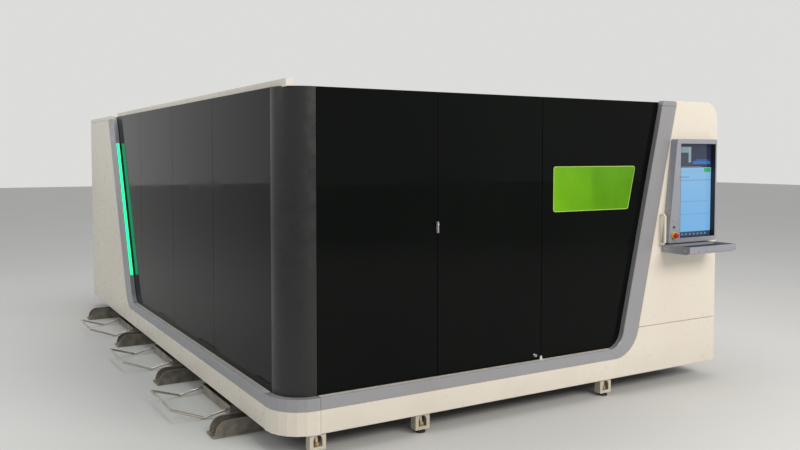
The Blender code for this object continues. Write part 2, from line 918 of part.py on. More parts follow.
def build_inner_frame():
    """Welded tube frame: a ring at the floor, a ring under the roof and posts between them."""
    inset = SKIN + GAP
    far_x, far_y = WIDTH - inset, DEPTH - inset
    side_x = PANE_BACK + GAP
    top_right = WIDTH - RIGHT_FRAME_SETBACK
    post_front, post_right = FRONT_RING_SETBACK, top_right - TUBE
    ring_low, ring_high = FLOOR_CLEARANCE, FLOOR_CLEARANCE + TUBE
    reach = TUBE - TUBE_LAP - inset
    right_width = far_x - post_right - TUBE_LAP
    widths = (side_x + reach, post_front + reach, right_width, TUBE + TUBE_LAP)
    outlines = ring_outlines(inset, inset, far_x, far_y, widths)
    frame = plate("enclosure_frame", outlines, ring_low, ring_high, "XY", BLACK_STEEL)
    top = VISOR_TOP - GAP
    outlines = ring_outlines(side_x, post_front, top_right, far_y, (TUBE,) * 4)
    top_ring = plate("top_ring", outlines, top - TUBE, top)
    low, high = ring_high - TUBE_LAP, top - TUBE + TUBE_LAP
    rear_y = far_y - TUBE
    places = [(x, post_front) for x in (*FRONT_POSTS, post_right)]
    places += [(x, rear_y) for x in (side_x, REAR_POST, post_right)]
    places += [(side_x, y) for y in SIDE_POSTS]
    places += [(post_right, y) for y in RIGHT_POSTS]
    posts = [
        block(f"post_{i + 1}", (x, y, low), (x + TUBE, y + TUBE, high))
        for i, (x, y) in enumerate(places)
    ]
    beam = block(
        "shelf_beam",
        (SHELF_LEFT, post_front + TUBE_LAP, ring_low),
        (SHELF_LEFT + TUBE, rear_y + TUBE_LAP, ring_high),
    )
    shelves = [
        block(
            f"shelf_tube_{i + 1}",
            (SHELF_LEFT + TUBE_LAP, y, ring_low),
            (post_right + TUBE_LAP, y + TUBE, ring_high),
        )
        for i, y in enumerate(SHELF_BEAMS)
    ]
    weld_group(frame, "frame_members", [top_ring, *posts, beam, *shelves])


def build_tower():
    """White tower front that opens as a door and carries the console."""
    low = SKIRT_TOP + SHOULDER_RISE + DOOR_GAP
    margin = TRIM_CLEARANCE
    outline = shoulder_outline(
        front_trim_x(low) + margin, front_trim_x(ROOF_TOP) + margin, low
    )
    door = plate("tower_door", [outline], 0, SKIN, "XZ", CREAM)
    round_edges(door, EDGE)
    front = -CONSOLE_DEPTH
    bezel = plate(
        "console_housing",
        [
            rounded(
                [
                    (CONSOLE_LEFT_BOTTOM, CONSOLE_BOTTOM, CONSOLE_RADIUS),
                    (CONSOLE_RIGHT, CONSOLE_BOTTOM, CONSOLE_RADIUS),
                    (CONSOLE_RIGHT, CONSOLE_TOP, CONSOLE_RADIUS),
                    (CONSOLE_LEFT_TOP, CONSOLE_TOP, CONSOLE_RADIUS),
                ]
            )
        ],
        front,
        -GAP,
        "XZ",
        SILVER,
    )
    pocket_back = front + SCREEN_POCKET
    cut(
        bezel,
        block(
            "screen_pocket",
            (SCREEN_LEFT, front - OVERRUN, SCREEN_BOTTOM),
            (SCREEN_RIGHT, pocket_back, SCREEN_TOP),
        ),
    )
    screen = block(
        "display_screen",
        (SCREEN_LEFT + GAP, pocket_back - GAP - SCREEN_THICKNESS, SCREEN_BOTTOM + GAP),
        (SCREEN_RIGHT - GAP, pocket_back - GAP, SCREEN_TOP - GAP),
        SCREEN,
    )
    x, z = ESTOP_PLACE
    face = front - GAP
    collar = disc(
        "estop_collar", (x, face, z), (0, -1, 0), ESTOP_COLLAR_RADIUS, ESTOP_COLLAR_LENGTH, YELLOW
    )
    collar_face = face - ESTOP_COLLAR_LENGTH - GAP
    stem = disc(
        "estop_button", (x, collar_face, z), (0, -1, 0), ESTOP_STEM_RADIUS, 2 * ESTOP_TRAVEL, RED
    )
    head = disc(
        "estop_head",
        (x, collar_face - ESTOP_TRAVEL - GAP, z),
        (0, -1, 0),
        ESTOP_HEAD_RADIUS,
        ESTOP_HEAD_LENGTH,
        end_radius=ESTOP_HEAD_RADIUS * 0.7,
    )
    weld(stem, head)
    bore = disc(
        "estop_bore",
        (x, face + OVERRUN / 10, z),
        (0, -1, 0),
        ESTOP_STEM_RADIUS + GAP,
        ESTOP_COLLAR_LENGTH + OVERRUN,
    )
    stem_pocket = disc(
        "estop_pocket", (x, front - OVERRUN, z), (0, 1, 0), ESTOP_STEM_RADIUS + GAP, OVERRUN + ESTOP_TRAVEL
    )
    cut(collar, bore)
    button_x, button_z = BUTTON_PLACE
    ring = disc(
        "button_bezel",
        (button_x, front + BUTTON_BEZEL_LENGTH, button_z),
        (0, -1, 0),
        BUTTON_BEZEL_RADIUS,
        2 * BUTTON_BEZEL_LENGTH,
    )
    pocket = disc(
        "button_pocket",
        (button_x, front - OVERRUN, button_z),
        (0, 1, 0),
        BUTTON_RADIUS + GAP,
        OVERRUN + BUTTON_LENGTH,
    )
    weld(bezel, ring)
    cut(bezel, pocket, stem_pocket)
    button = disc(
        "console_button",
        (button_x, front + BUTTON_LENGTH / 2, button_z),
        (0, -1, 0),
        BUTTON_RADIUS,
        BUTTON_LENGTH / 2 + 2 * BUTTON_BEZEL_LENGTH,
        BLACK_PLASTIC,
    )
    tray = build_tray()
    points = [
        (PULL_X, -GAP, PULL_LOW),
        (PULL_X, -PULL_REACH * 0.7, PULL_LOW),
        (PULL_X, -PULL_REACH, PULL_LOW + PULL_REACH / 3),
        (PULL_X, -PULL_REACH, PULL_HIGH - PULL_REACH / 3),
        (PULL_X, -PULL_REACH * 0.7, PULL_HIGH),
        (PULL_X, -GAP, PULL_HIGH),
    ]
    pull = bar("tower_door_pull", points, PULL_RADIUS, CREAM)
    hinge = axis_empty("tower_door_hinge", (WIDTH, 0, 0))
    carry(hinge, door, bezel, screen, collar, tray, pull)
    carry(axis_empty("estop_axis", (x, collar_face, z), hinge), stem)
    carry(axis_empty("button_axis", (button_x, front, button_z), hinge), button)


def build_tray():
    """Keyboard shelf: a shallow folded tray whose underside slopes down from the nose."""
    low = TRAY_TOP - TRAY_HEIGHT
    side = rounded(
        [
            (-GAP, low, 0),
            (-GAP, TRAY_TOP, 0),
            (-TRAY_REACH, TRAY_TOP, 0),
            (-TRAY_REACH, low + TRAY_NOSE / 2, TRAY_NOSE / 4),
            (-TRAY_REACH + TRAY_NOSE, low, 0),
        ]
    )
    tray = plate("keyboard_tray", [side], TRAY_LEFT, TRAY_RIGHT, "YZ", SILVER)
    pocket = block(
        "tray_pocket",
        (TRAY_LEFT + TRAY_WALL, -TRAY_REACH + TRAY_WALL, TRAY_TOP - TRAY_POCKET),
        (TRAY_RIGHT - TRAY_WALL, -CONSOLE_DEPTH - TRAY_WALL, TRAY_TOP + OVERRUN),
    )
    return cut(tray, pocket)


def rib_outline(start, reach, low, high, radius):
    """Gusset with a quarter-round outer end."""
    return rounded(
        [
            (start, low, 0),
            (start, high, 0),
            (reach, high, radius),
            (reach, low, 0),
        ]
    )


def build_bed():
    """Welded bed: two box beams on four pairs of legs, tied by cross beams and stringers."""
    right = BED_LEFT + BED_SPAN
    leg_inset = (BED_BEAM_WIDTH - LEG) / 2
    bed = block(
        "bed_frame",
        (BED_LEFT, BED_FRONT, BED_TOP - BED_BEAM_HEIGHT),
        (BED_LEFT + BED_BEAM_WIDTH, BED_REAR, BED_TOP),
        CAST_GREY,
    )
    members = [
        block(
            "bed_beam_right",
            (right - BED_BEAM_WIDTH, BED_FRONT, BED_TOP - BED_BEAM_HEIGHT),
            (right, BED_REAR, BED_TOP),
        )
    ]
    left_x, right_x = BED_LEFT + leg_inset, right - leg_inset - LEG
    beam_foot = BED_TOP - BED_BEAM_HEIGHT
    for i, y in enumerate(LEG_PLACES):
        for side, x in (("left", left_x), ("right", right_x)):
            members.append(
                block(
                    f"leg_{side}_{i + 1}",
                    (x, y - LEG / 2, FOOT_PLATE / 2),
                    (x + LEG, y + LEG / 2, beam_foot + TUBE_LAP),
                )
            )
        members.append(
            block(
                f"cross_beam_{i + 1}",
                (left_x + LEG - TUBE_LAP, y - LEG / 2 + EDGE, CROSS_BEAM_TOP - CROSS_BEAM_HEIGHT),
                (right_x + TUBE_LAP, y + LEG / 2 - EDGE, CROSS_BEAM_TOP),
            )
        )
        spread = FOOT_WIDTH / 2
        for side, inner, outer in (
            ("left", left_x + LEG + EDGE, -FOOT_REACH),
            ("right", right_x - EDGE, right_x + LEG + FOOT_REACH),
        ):
            low_x, high_x = min(inner, outer), max(inner, outer)
            members.append(
                block(f"foot_{side}_{i + 1}", (low_x, y - spread, 0), (high_x, y + spread, FOOT_PLATE))
            )
            reach = outer + math.copysign(FOOT_PLATE, inner - outer)
            outline = rib_outline(
                inner + math.copysign(EDGE, outer - inner),
                reach,
                FOOT_PLATE / 2,
                FOOT_RIB_HEIGHT,
                FOOT_RIB_RADIUS,
            )
            for j, level in enumerate((y - spread + FOOT_RIB / 2, y + spread - FOOT_RIB * 1.5)):
                members.append(
                    plate(f"rib_{side}_{i + 1}_{j + 1}", [outline], level, level + FOOT_RIB, "XZ")
                )
    for side, x in (("left", left_x), ("right", right_x)):
        start = LEG_PLACES[0]
        middle = x + LEG / 2
        members.append(
            block(
                f"stringer_{side}",
                (middle - STRINGER / 2, start, STRINGER_BOTTOM),
                (middle + STRINGER / 2, LEG_PLACES[-1], STRINGER_BOTTOM + STRINGER),
            )
        )
    guide_x = left_x + LEG / 2
    for i, y in enumerate(DRAWER_PLACES):
        for side in (-1, 1):
            near = y + side * (DRAWER_WIDTH / 2 + GAP)
            far = near + side * GUIDE
            members.append(
                block(
                    f"drawer_guide_{i + 1}_{'left' if side > 0 else 'right'}",
                    (guide_x - GUIDE_LENGTH / 2, min(near, far), 0),
                    (guide_x + GUIDE_LENGTH / 2, max(near, far), STRINGER_BOTTOM + TUBE_LAP),
                )
            )
    for i, y in enumerate(LEG_PLACES):
        members.append(
            block(
                f"frame_tie_{i + 1}",
                (PANE_BACK + TUBE - TUBE_LAP + 2 * GAP, y - TIE / 2, FLOOR_CLEARANCE + TUBE_LAP),
                (left_x + TUBE_LAP, y + TIE / 2, FLOOR_CLEARANCE + TIE),
            )
        )
    weld_group(bed, "bed_members", members)


def build_drawers():
    for i, y in enumerate(DRAWER_PLACES):
        name = f"scrap_drawer_{i + 1}"
        half = DRAWER_WIDTH / 2
        low, high = 0.0, DRAWER_HEIGHT
        tray = block(
            name,
            (DRAWER_START, y - half, low),
            (DRAWER_START + DRAWER_DEPTH, y + half, high),
            STEEL,
        )
        inside = block(
            f"{name}_inside",
            (DRAWER_START + DRAWER_WALL, y - half + DRAWER_WALL, low + DRAWER_BOTTOM),
            (DRAWER_START + DRAWER_DEPTH - DRAWER_WALL, y + half - DRAWER_WALL, high + OVERRUN),
        )
        cut(tray, inside)
        front = DRAWER_START - GAP
        arm, grip = HANDLE_ARM_SPREAD, HANDLE_GRIP_SPREAD
        points = [
            (front, y - arm, HANDLE_ROOT_HEIGHT),
            (front - HANDLE_ROOT, y - arm, HANDLE_ROOT_HEIGHT),
            (-HANDLE_DIP_REACH, y - arm, HANDLE_DIP_HEIGHT),
            (-HANDLE_REACH, y - grip, HANDLE_GRIP_HEIGHT),
            (-HANDLE_REACH, y + grip, HANDLE_GRIP_HEIGHT),
            (-HANDLE_DIP_REACH, y + arm, HANDLE_DIP_HEIGHT),
            (front - HANDLE_ROOT, y + arm, HANDLE_ROOT_HEIGHT),
            (front, y + arm, HANDLE_ROOT_HEIGHT),
        ]
        handle = bar(f"{name}_handle", points, HANDLE_RADIUS, BRIGHT_STEEL, 3)
        carry(axis_empty(f"{name}_slide", (DRAWER_START, y, 0)), tray, handle)


def build_feet():
    """Folded brackets under the frame, each with a levelling bolt on a round pad."""
    for name, side, place in ENCLOSURE_FEET:
        half = BRACKET_WIDTH / 2
        top = FLOOR_CLEARANCE - GAP
        sheet = BRACKET_SHEET
        front = SKIN + GAP
        bracket = block(name, (-half, front, BRACKET_LIFT), (half, front + BRACKET_DEPTH, top), CREAM)
        hollow = block(
            f"{name}_hollow",
            (-half + sheet, front + sheet, BRACKET_LIFT - OVERRUN),
            (half - sheet, front + BRACKET_DEPTH + OVERRUN, top - sheet),
        )
        arch = plate(
            f"{name}_arch",
            [
                arch_outline(
                    -BRACKET_ARCH_WIDTH / 2,
                    BRACKET_ARCH_WIDTH / 2,
                    BRACKET_LIFT + BRACKET_ARCH_FOOT,
                    top - sheet * 2,
                )
            ],
            front - OVERRUN,
            front + sheet + EDGE,
            "XZ",
        )
        middle = front + BRACKET_DEPTH / 2
        bolt_foot = PAD_HEIGHT / 2
        bolt = disc(
            f"{name}_bolt",
            (0, middle, bolt_foot),
            (0, 0, 1),
            BOLT_RADIUS,
            top - sheet / 2 - bolt_foot,
        )
        pad = disc(f"{name}_pad", (0, middle, 0), (0, 0, 1), PAD_RADIUS, PAD_HEIGHT)
        nut = disc(
            f"{name}_nut",
            (0, middle, BRACKET_LIFT + BRACKET_ARCH_FOOT),
            (0, 0, 1),
            NUT_RADIUS,
            NUT_HEIGHT,
            sides=6,
        )
        cut(bracket, hollow, arch)
        weld(bracket, bolt, pad, nut)
        turn, shift = {
            "front": (0.0, (place, 0, 0)),
            "right": (math.pi / 2, (WIDTH, place, 0)),
            "rear": (math.pi, (place, DEPTH, 0)),
        }[side]
        move = Matrix.Translation(shift) @ Matrix.Rotation(turn, 4, "Z")
        for piece in (bracket, hollow, arch, bolt, pad, nut):
            piece.matrix_local = move


def slat_outline(left, right, low, high):
    """Support slat: a strip whose top edge carries blunt teeth."""
    pitch = (right - left) / TOOTH_COUNT
    tip = pitch * TOOTH_TIP_SHARE
    points = [Vector((left, low)), Vector((right, low))]
    for i in reversed(range(TOOTH_COUNT)):
        foot = left + i * pitch
        middle = foot + pitch / 2
        points.append(Vector((foot + pitch, high - TOOTH_HEIGHT)))
        points.append(Vector((middle + tip / 2, high)))
        points.append(Vector((middle - tip / 2, high)))
    points.append(Vector((left, high - TOOTH_HEIGHT)))
    return points


def build_table():
    low = CROSS_BEAM_TOP + GAP
    high = low + TABLE_RAIL_HEIGHT
    outer = rectangle((TABLE_LEFT, TABLE_FRONT), (TABLE_RIGHT, TABLE_REAR))
    inner = rectangle(
        (TABLE_LEFT + TABLE_RAIL, TABLE_FRONT + TABLE_RAIL),
        (TABLE_RIGHT - TABLE_RAIL, TABLE_REAR - TABLE_RAIL),
    )
    table = plate("slat_table", [outer, inner], low, high, "XY", STEEL)
    inset = TABLE_RAIL / 2
    outline = slat_outline(TABLE_LEFT + inset, TABLE_RIGHT - inset, SLAT_TOP - SLAT_DEPTH, SLAT_TOP)
    pitch = (TABLE_REAR - TABLE_FRONT - TABLE_RAIL) / (SLAT_COUNT + 1)
    slats = []
    for i in range(SLAT_COUNT):
        y = TABLE_FRONT + TABLE_RAIL / 2 + pitch * (i + 1)
        slats.append(
            plate(f"slat_{i + 1}", [outline], y - SLAT_THICKNESS / 2, y + SLAT_THICKNESS / 2, "XZ")
        )
    weld_group(table, "table_slats", slats)


def build_rails():
    """Each side has one ground rail and its rack on a common bed strip."""
    right = BED_LEFT + BED_SPAN
    half = BED_BEAM_WIDTH / 2
    low = BED_TOP + GAP
    for side, middle, rack_side in (("left", BED_LEFT + half, 1), ("right", right - half, -1)):
        width = RAIL_WIDTH / 2
        rail = block(
            f"y_rail_{side}",
            (middle - width, RAIL_START, low),
            (middle + width, RAIL_END, low + RAIL_HEIGHT),
            BRIGHT_STEEL,
        )
        start = middle + rack_side * (width + TRUCK_LIP + RACK_SPACE)
        end = start + rack_side * RACK_WIDTH
        rack = block(
            f"y_rack_{side}",
            (min(start, end), RAIL_START + EDGE, low),
            (max(start, end), RAIL_END - EDGE, low + RACK_HEIGHT),
        )
        strip = block(
            f"y_rail_strip_{side}",
            (min(middle, end - rack_side * EDGE), RAIL_START + 2 * EDGE, low),
            (max(middle, end - rack_side * EDGE), RAIL_END - 2 * EDGE, low + RAIL_STRIP),
        )
        weld(rail, rack, strip)


def build_gantry():
    """Beam on two end trucks, with the carriage and the cutting head on its front face."""
    right = BED_LEFT + BED_SPAN
    front, back = GANTRY_PLACE - BEAM_DEPTH / 2, GANTRY_PLACE + BEAM_DEPTH / 2
    beam_top = BEAM_BOTTOM + BEAM_HEIGHT
    beam = block(
        "gantry_beam",
        (BED_LEFT - BEAM_OVERHANG, front, BEAM_BOTTOM),
        (right + BEAM_OVERHANG, back, beam_top),
        ALUMINIUM,
    )
    rails = [
        block(
            f"x_rail_{i + 1}",
            (BED_LEFT, front - X_RAIL, BEAM_BOTTOM + place),
            (right, front + EDGE, BEAM_BOTTOM + place + X_RAIL),
        )
        for i, place in enumerate(X_RAIL_PLACES)
    ]
    rail_top = BED_TOP + GAP + RAIL_HEIGHT
    trucks = []
    for side, middle in (
        ("left", BED_LEFT + BED_BEAM_WIDTH / 2),
        ("right", right - BED_BEAM_WIDTH / 2),
    ):
        width = RAIL_WIDTH / 2 + TRUCK_CLEARANCE
        lip = width + TRUCK_LIP
        start, end = GANTRY_PLACE - TRUCK_LENGTH / 2, GANTRY_PLACE + TRUCK_LENGTH / 2
        low = rail_top + TRUCK_CLEARANCE / 2
        trucks.append(
            block(
                f"truck_{side}",
                (middle - lip * 2, start, low),
                (middle + lip * 2, end, BEAM_BOTTOM + EDGE),
            )
        )
        for j, (near, far) in enumerate(((-lip, -width), (width, lip))):
            trucks.append(
                block(
                    f"truck_lip_{side}_{j + 1}",
                    (middle + near, start + EDGE, low - RAIL_HEIGHT / 2),
                    (middle + far, end - EDGE, low + EDGE),
                )
            )
    weld_group(beam, "gantry_members", [*rails, *trucks])
    slide = axis_empty("gantry_slide", (BED_LEFT, GANTRY_PLACE, BEAM_BOTTOM))
    carry(slide, beam)
    for side, middle in (
        ("left", BED_LEFT + BED_BEAM_WIDTH / 2),
        ("right", right - BED_BEAM_WIDTH / 2),
    ):
        half = MOTOR_SIDE / 2
        start = back + GAP
        low = BEAM_BOTTOM + EDGE + GAP
        motor = block(
            f"y_motor_{side}",
            (middle - half, start, low),
            (middle + half, start + MOTOR_SIDE, low + MOTOR_HEIGHT),
            BLACK_STEEL,
            EDGE * 2,
        )
        cap = disc(
            f"y_motor_cap_{side}",
            (middle, start + half, low + MOTOR_HEIGHT - EDGE),
            (0, 0, 1),
            MOTOR_CAP_RADIUS,
            MOTOR_CAP_HEIGHT,
        )
        weld(motor, cap)
        carry(slide, motor)
    build_carriage(slide, front - X_RAIL - GAP)


def build_carriage(slide, face):
    half = CARRIAGE_WIDTH / 2
    middle = BEAM_BOTTOM + BEAM_HEIGHT / 2
    carriage = block(
        "x_carriage",
        (CARRIAGE_X - half, face - CARRIAGE_THICKNESS, middle - CARRIAGE_HEIGHT / 2),
        (CARRIAGE_X + half, face, middle + CARRIAGE_HEIGHT / 2),
        ALUMINIUM,
        EDGE,
    )
    x_slide = axis_empty("carriage_slide", (CARRIAGE_X, face, middle), slide)
    carry(x_slide, carriage)
    z_face = face - CARRIAGE_THICKNESS - GAP
    half = Z_PLATE_WIDTH / 2
    z_plate = block(
        "z_slide",
        (CARRIAGE_X - half, z_face - Z_PLATE_THICKNESS, Z_PLATE_BOTTOM),
        (CARRIAGE_X + half, z_face, Z_PLATE_BOTTOM + Z_PLATE_HEIGHT),
        BLACK_STEEL,
        EDGE,
    )
    head_y = z_face - Z_PLATE_THICKNESS - GAP - HEAD_RADIUS
    profile = [
        (0, HEAD_TOP),
        (HEAD_RADIUS * 0.8, HEAD_TOP),
        (HEAD_RADIUS, HEAD_TOP - HEAD_RADIUS / 3),
        (HEAD_RADIUS, HEAD_SHOULDER),
        (HEAD_NECK_RADIUS, HEAD_NECK),
        (HEAD_NECK_RADIUS, NOZZLE_TOP + GAP),
        (0, NOZZLE_TOP + GAP),
    ]
    head = turned("cutting_head", profile, (CARRIAGE_X, head_y), ALUMINIUM)
    profile = [
        (0, NOZZLE_TOP),
        (NOZZLE_TOP_RADIUS, NOZZLE_TOP),
        (NOZZLE_TOP_RADIUS, (NOZZLE_TOP + NOZZLE_TIP) / 2),
        (NOZZLE_TIP_RADIUS, NOZZLE_TIP),
        (0, NOZZLE_TIP),
    ]
    nozzle = turned("nozzle", profile, (CARRIAGE_X, head_y), COPPER)
    carry(
        axis_empty("head_slide", (CARRIAGE_X, z_face, Z_PLATE_BOTTOM), x_slide),
        z_plate,
        head,
        nozzle,
    )


def turned(name, profile, centre, finish):
    """Turned piece: its profile is spun about a vertical axis by a Screw."""
    mesh = bpy.data.meshes.new(name)
    edges = [(i, i + 1) for i in range(len(profile) - 1)]
    mesh.from_pydata([(radius, 0, height) for radius, height in profile], edges, [])
    mesh.update()
    made = new_object(name, mesh, finish)
    screw = made.modifiers.new("turning", "SCREW")
    screw.steps = screw.render_steps = FINE_SIDES
    screw.use_merge_vertices = True
    screw.merge_threshold = GAP / 10
    screw.use_smooth_shade = True
    graph = bpy.context.evaluated_depsgraph_get()
    solid = bpy.data.meshes.new_from_object(made.evaluated_get(graph))
    solid.name = f"{name}_solid"
    solid.transform(Matrix.Translation((*centre, 0)))
    made.modifiers.clear()
    made.data = solid
    bpy.data.meshes.remove(mesh)
    solid.set_sharp_from_angle(angle=math.radians(35))
    return made


def build_cabinet():
    """Electrical plate with its rows of drives, and the laser source on its shelf."""
    right = WIDTH - SKIN - GAP
    back = FRONT_RING_SETBACK + TUBE + GAP
    panel = block(
        "electrical_plate",
        (PLATE_LEFT, back, PLATE_LOW),
        (right - EDGE, back + PLATE_THICKNESS, PLATE_HIGH),
        SILVER,
    )
    left = FRONT_POSTS[-1] + TUBE + MODULE_SPACE
    last = WIDTH - RIGHT_FRAME_SETBACK - TUBE - MODULE_SPACE
    width = (last - left - MODULE_SPACE * (MODULE_COUNT - 1)) / MODULE_COUNT
    modules = []
    for row, z in enumerate(MODULE_ROWS):
        for i in range(MODULE_COUNT):
            x = left + i * (width + MODULE_SPACE)
            modules.append(
                block(
                    f"module_{row + 1}_{i + 1}",
                    (x, back - MODULE_DEPTH, z),
                    (x + width, back + PLATE_THICKNESS / 2, z + MODULE_HEIGHT),
                )
            )
    weld_group(panel, "electrical_modules", modules)

    low = FLOOR_CLEARANCE + TUBE + GAP
    size = SOURCE_SIZE
    source = block(
        "laser_source",
        (SOURCE_LEFT, SOURCE_FRONT, low),
        (SOURCE_LEFT + size[0], SOURCE_FRONT + size[1], low + size[2]),
        SILVER,
    )
    slots = []
    for i in range(SOURCE_GRILLE_SLOTS):
        z = low + size[2] / 3 + i * LOUVRE_PITCH
        slots.append(
            block(
                f"source_slot_{i + 1}",
                (SOURCE_LEFT + size[0] - SOURCE_FEET, SOURCE_FRONT + size[1] / 4, z),
                (SOURCE_LEFT + size[0] + OVERRUN, SOURCE_FRONT + size[1] * 3 / 4, z + LOUVRE_SLOT),
            )
        )
    cut(source, *slots)


build_skins()
build_roof()
build_service_side()
build_visor()
build_inner_frame()
build_tower()
build_bed()
build_drawers()
build_feet()
build_table()
build_rails()
build_gantry()
build_cabinet()
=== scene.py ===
import math

import bmesh
import bpy
from mathutils import Matrix, Vector


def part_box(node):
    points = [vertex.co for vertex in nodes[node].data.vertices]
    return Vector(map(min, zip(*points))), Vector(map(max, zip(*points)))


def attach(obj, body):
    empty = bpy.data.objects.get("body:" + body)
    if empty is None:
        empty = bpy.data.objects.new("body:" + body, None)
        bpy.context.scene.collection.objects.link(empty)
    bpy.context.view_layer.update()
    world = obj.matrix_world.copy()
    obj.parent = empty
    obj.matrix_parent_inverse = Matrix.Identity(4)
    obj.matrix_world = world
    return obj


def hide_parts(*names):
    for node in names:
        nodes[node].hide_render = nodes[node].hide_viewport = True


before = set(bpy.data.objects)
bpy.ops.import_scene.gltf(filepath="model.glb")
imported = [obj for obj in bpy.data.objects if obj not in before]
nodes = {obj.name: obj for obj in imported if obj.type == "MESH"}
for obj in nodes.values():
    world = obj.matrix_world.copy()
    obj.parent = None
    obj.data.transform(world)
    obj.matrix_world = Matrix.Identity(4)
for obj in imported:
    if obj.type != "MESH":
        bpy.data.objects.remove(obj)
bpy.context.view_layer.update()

# Stage: a plain pale backdrop, soft light from the front, the left and above, and the camera
# that stands at the corner between the operator's side and the glazed side.
CORNER = Vector((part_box("skirt_corner")[0].x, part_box("skirt_corner")[0].y, 0))
CAMERA_PLACE = Vector((-1.665, -4.106, 1.681))
CAMERA_TURN = (math.radians(87.45), 0, math.radians(-30.52))
LENS, SENSOR_WIDTH, SHIFT = 36.72, 36, -0.0415
WARM, COOL, NEUTRAL = (1.0, 0.95, 0.88), (0.92, 1.0, 0.97), (1, 1, 1)
PALE = (0.80, 0.80, 0.79)
SKY_STRENGTH, BACKDROP_STRENGTH = 0.42, 0.9

camera = bpy.data.cameras.new("camera")
camera.lens = LENS
camera.sensor_width = SENSOR_WIDTH
camera.shift_y = SHIFT
camera_object = bpy.data.objects.new("camera", camera)
camera_object.location = CORNER + CAMERA_PLACE
camera_object.rotation_euler = CAMERA_TURN
bpy.context.scene.collection.objects.link(camera_object)
bpy.context.scene.camera = camera_object
bpy.context.scene.view_settings.view_transform = "Standard"


def lamp(name, place, aim, size, power, colour):
    """Soft box at a place in machine coordinates, turned towards its aim."""
    light = bpy.data.lights.new(name, "AREA")
    light.shape = "RECTANGLE"
    light.size, light.size_y = size
    light.energy = power
    light.color = colour
    made = bpy.data.objects.new(name, light)
    made.location = CORNER + Vector(place)
    direction = Vector(aim) - Vector(place)
    made.rotation_euler = direction.to_track_quat("-Z", "Y").to_euler()
    bpy.context.scene.collection.objects.link(made)


lamp("front_light", (3.6, -7.5, 5.5), (1.8, 0, 0.9), size=(6, 3), power=500, colour=WARM)
lamp("side_light", (-7.0, 2.0, 5.0), (0, 2.6, 0.8), size=(5, 3), power=120, colour=COOL)
lamp("top_light", (1.8, 2.5, 9.0), (1.8, 2.5, 2.0), size=(6, 6), power=260, colour=NEUTRAL)

world = bpy.data.worlds.new("studio")
bpy.context.scene.world = world
world.use_nodes = True
tree = world.node_tree
background = tree.nodes["Background"]
background.inputs["Color"].default_value = (1, 1, 1, 1)
background.inputs["Strength"].default_value = SKY_STRENGTH
backdrop = tree.nodes.new("ShaderNodeBackground")
backdrop.inputs["Color"].default_value = (*PALE, 1)
backdrop.inputs["Strength"].default_value = BACKDROP_STRENGTH
rays = tree.nodes.new("ShaderNodeLightPath")
sees_backdrop = rays.outputs["Is Camera Ray"]
for ray in ("Is Glossy Ray", "Is Transmission Ray"):
    either = tree.nodes.new("ShaderNodeMath")
    either.operation = "MAXIMUM"
    tree.links.new(sees_backdrop, either.inputs[0])
    tree.links.new(rays.outputs[ray], either.inputs[1])
    sees_backdrop = either.outputs[0]
choose = tree.nodes.new("ShaderNodeMixShader")
tree.links.new(sees_backdrop, choose.inputs[0])
tree.links.new(background.outputs[0], choose.inputs[1])
tree.links.new(backdrop.outputs[0], choose.inputs[2])
tree.links.new(choose.outputs[0], tree.nodes["World Output"].inputs["Surface"])


# Painted steel skins: folded sheet with a cream powder coat. The coat has a fine orange
# peel, drifts slightly in tone and picks up workshop dust towards the floor.
CREAM = (0.800, 0.745, 0.655)
CREAM_DUSTY = (0.765, 0.705, 0.610)
FLOOR_GRIME = (0.420, 0.370, 0.300)
PEEL_SCALE, PEEL_HEIGHT = 420, 0.00003


def begin_material(name, roughness, metallic=0.0):
    """Material with its shader and the object coordinates that its patterns use."""
    made = bpy.data.materials.new(name)
    made.use_nodes = True
    shader = made.node_tree.nodes["Principled BSDF"]
    shader.inputs["Roughness"].default_value = roughness
    shader.inputs["Metallic"].default_value = metallic
    place = made.node_tree.nodes.new("ShaderNodeTexCoord")
    return made, shader, place.outputs["Object"]


def noise(made, coordinates, scale, detail, stretch=None):
    """Noise from 0 to 1 over the coordinates, drawn out where the stretch is below 1."""
    tree = made.node_tree
    if stretch:
        turn = tree.nodes.new("ShaderNodeMapping")
        turn.inputs["Scale"].default_value = stretch
        tree.links.new(coordinates, turn.inputs["Vector"])
        coordinates = turn.outputs["Vector"]
    grain = tree.nodes.new("ShaderNodeTexNoise")
    grain.inputs["Scale"].default_value = scale
    grain.inputs["Detail"].default_value = detail
    tree.links.new(coordinates, grain.inputs["Vector"])
    return grain.outputs["Fac"]


def ramp(made, factor, *stops):
    """Colour ramp through (place, colour) stops."""
    tree = made.node_tree
    scale = tree.nodes.new("ShaderNodeValToRGB")
    elements = scale.color_ramp.elements
    while len(elements) < len(stops):
        elements.new(0.5)
    for element, (place, colour) in zip(elements, stops):
        element.position = place
        element.color = (*colour, 1)
    tree.links.new(factor, scale.inputs["Fac"])
    return scale.outputs["Color"]


def remap(made, factor, low, high, to_low, to_high):
    """Factor between low and high, brought to between to_low and to_high."""
    tree = made.node_tree
    span = tree.nodes.new("ShaderNodeMapRange")
    for name, value in zip(
        ("From Min", "From Max", "To Min", "To Max"), (low, high, to_low, to_high)
    ):
        span.inputs[name].default_value = value
    tree.links.new(factor, span.inputs["Value"])
    return span.outputs["Result"]


def blend_colours(made, factor, first, second):
    """Mix of two colours, each a tuple or the output of a node."""
    tree = made.node_tree
    mix = tree.nodes.new("ShaderNodeMix")
    mix.data_type = "RGBA"
    tree.links.new(factor, mix.inputs["Factor"])
    for socket, value in ((mix.inputs[6], first), (mix.inputs[7], second)):
        if isinstance(value, tuple):
            socket.default_value = (*value, 1)
        else:
            tree.links.new(value, socket)
    return mix.outputs[2]


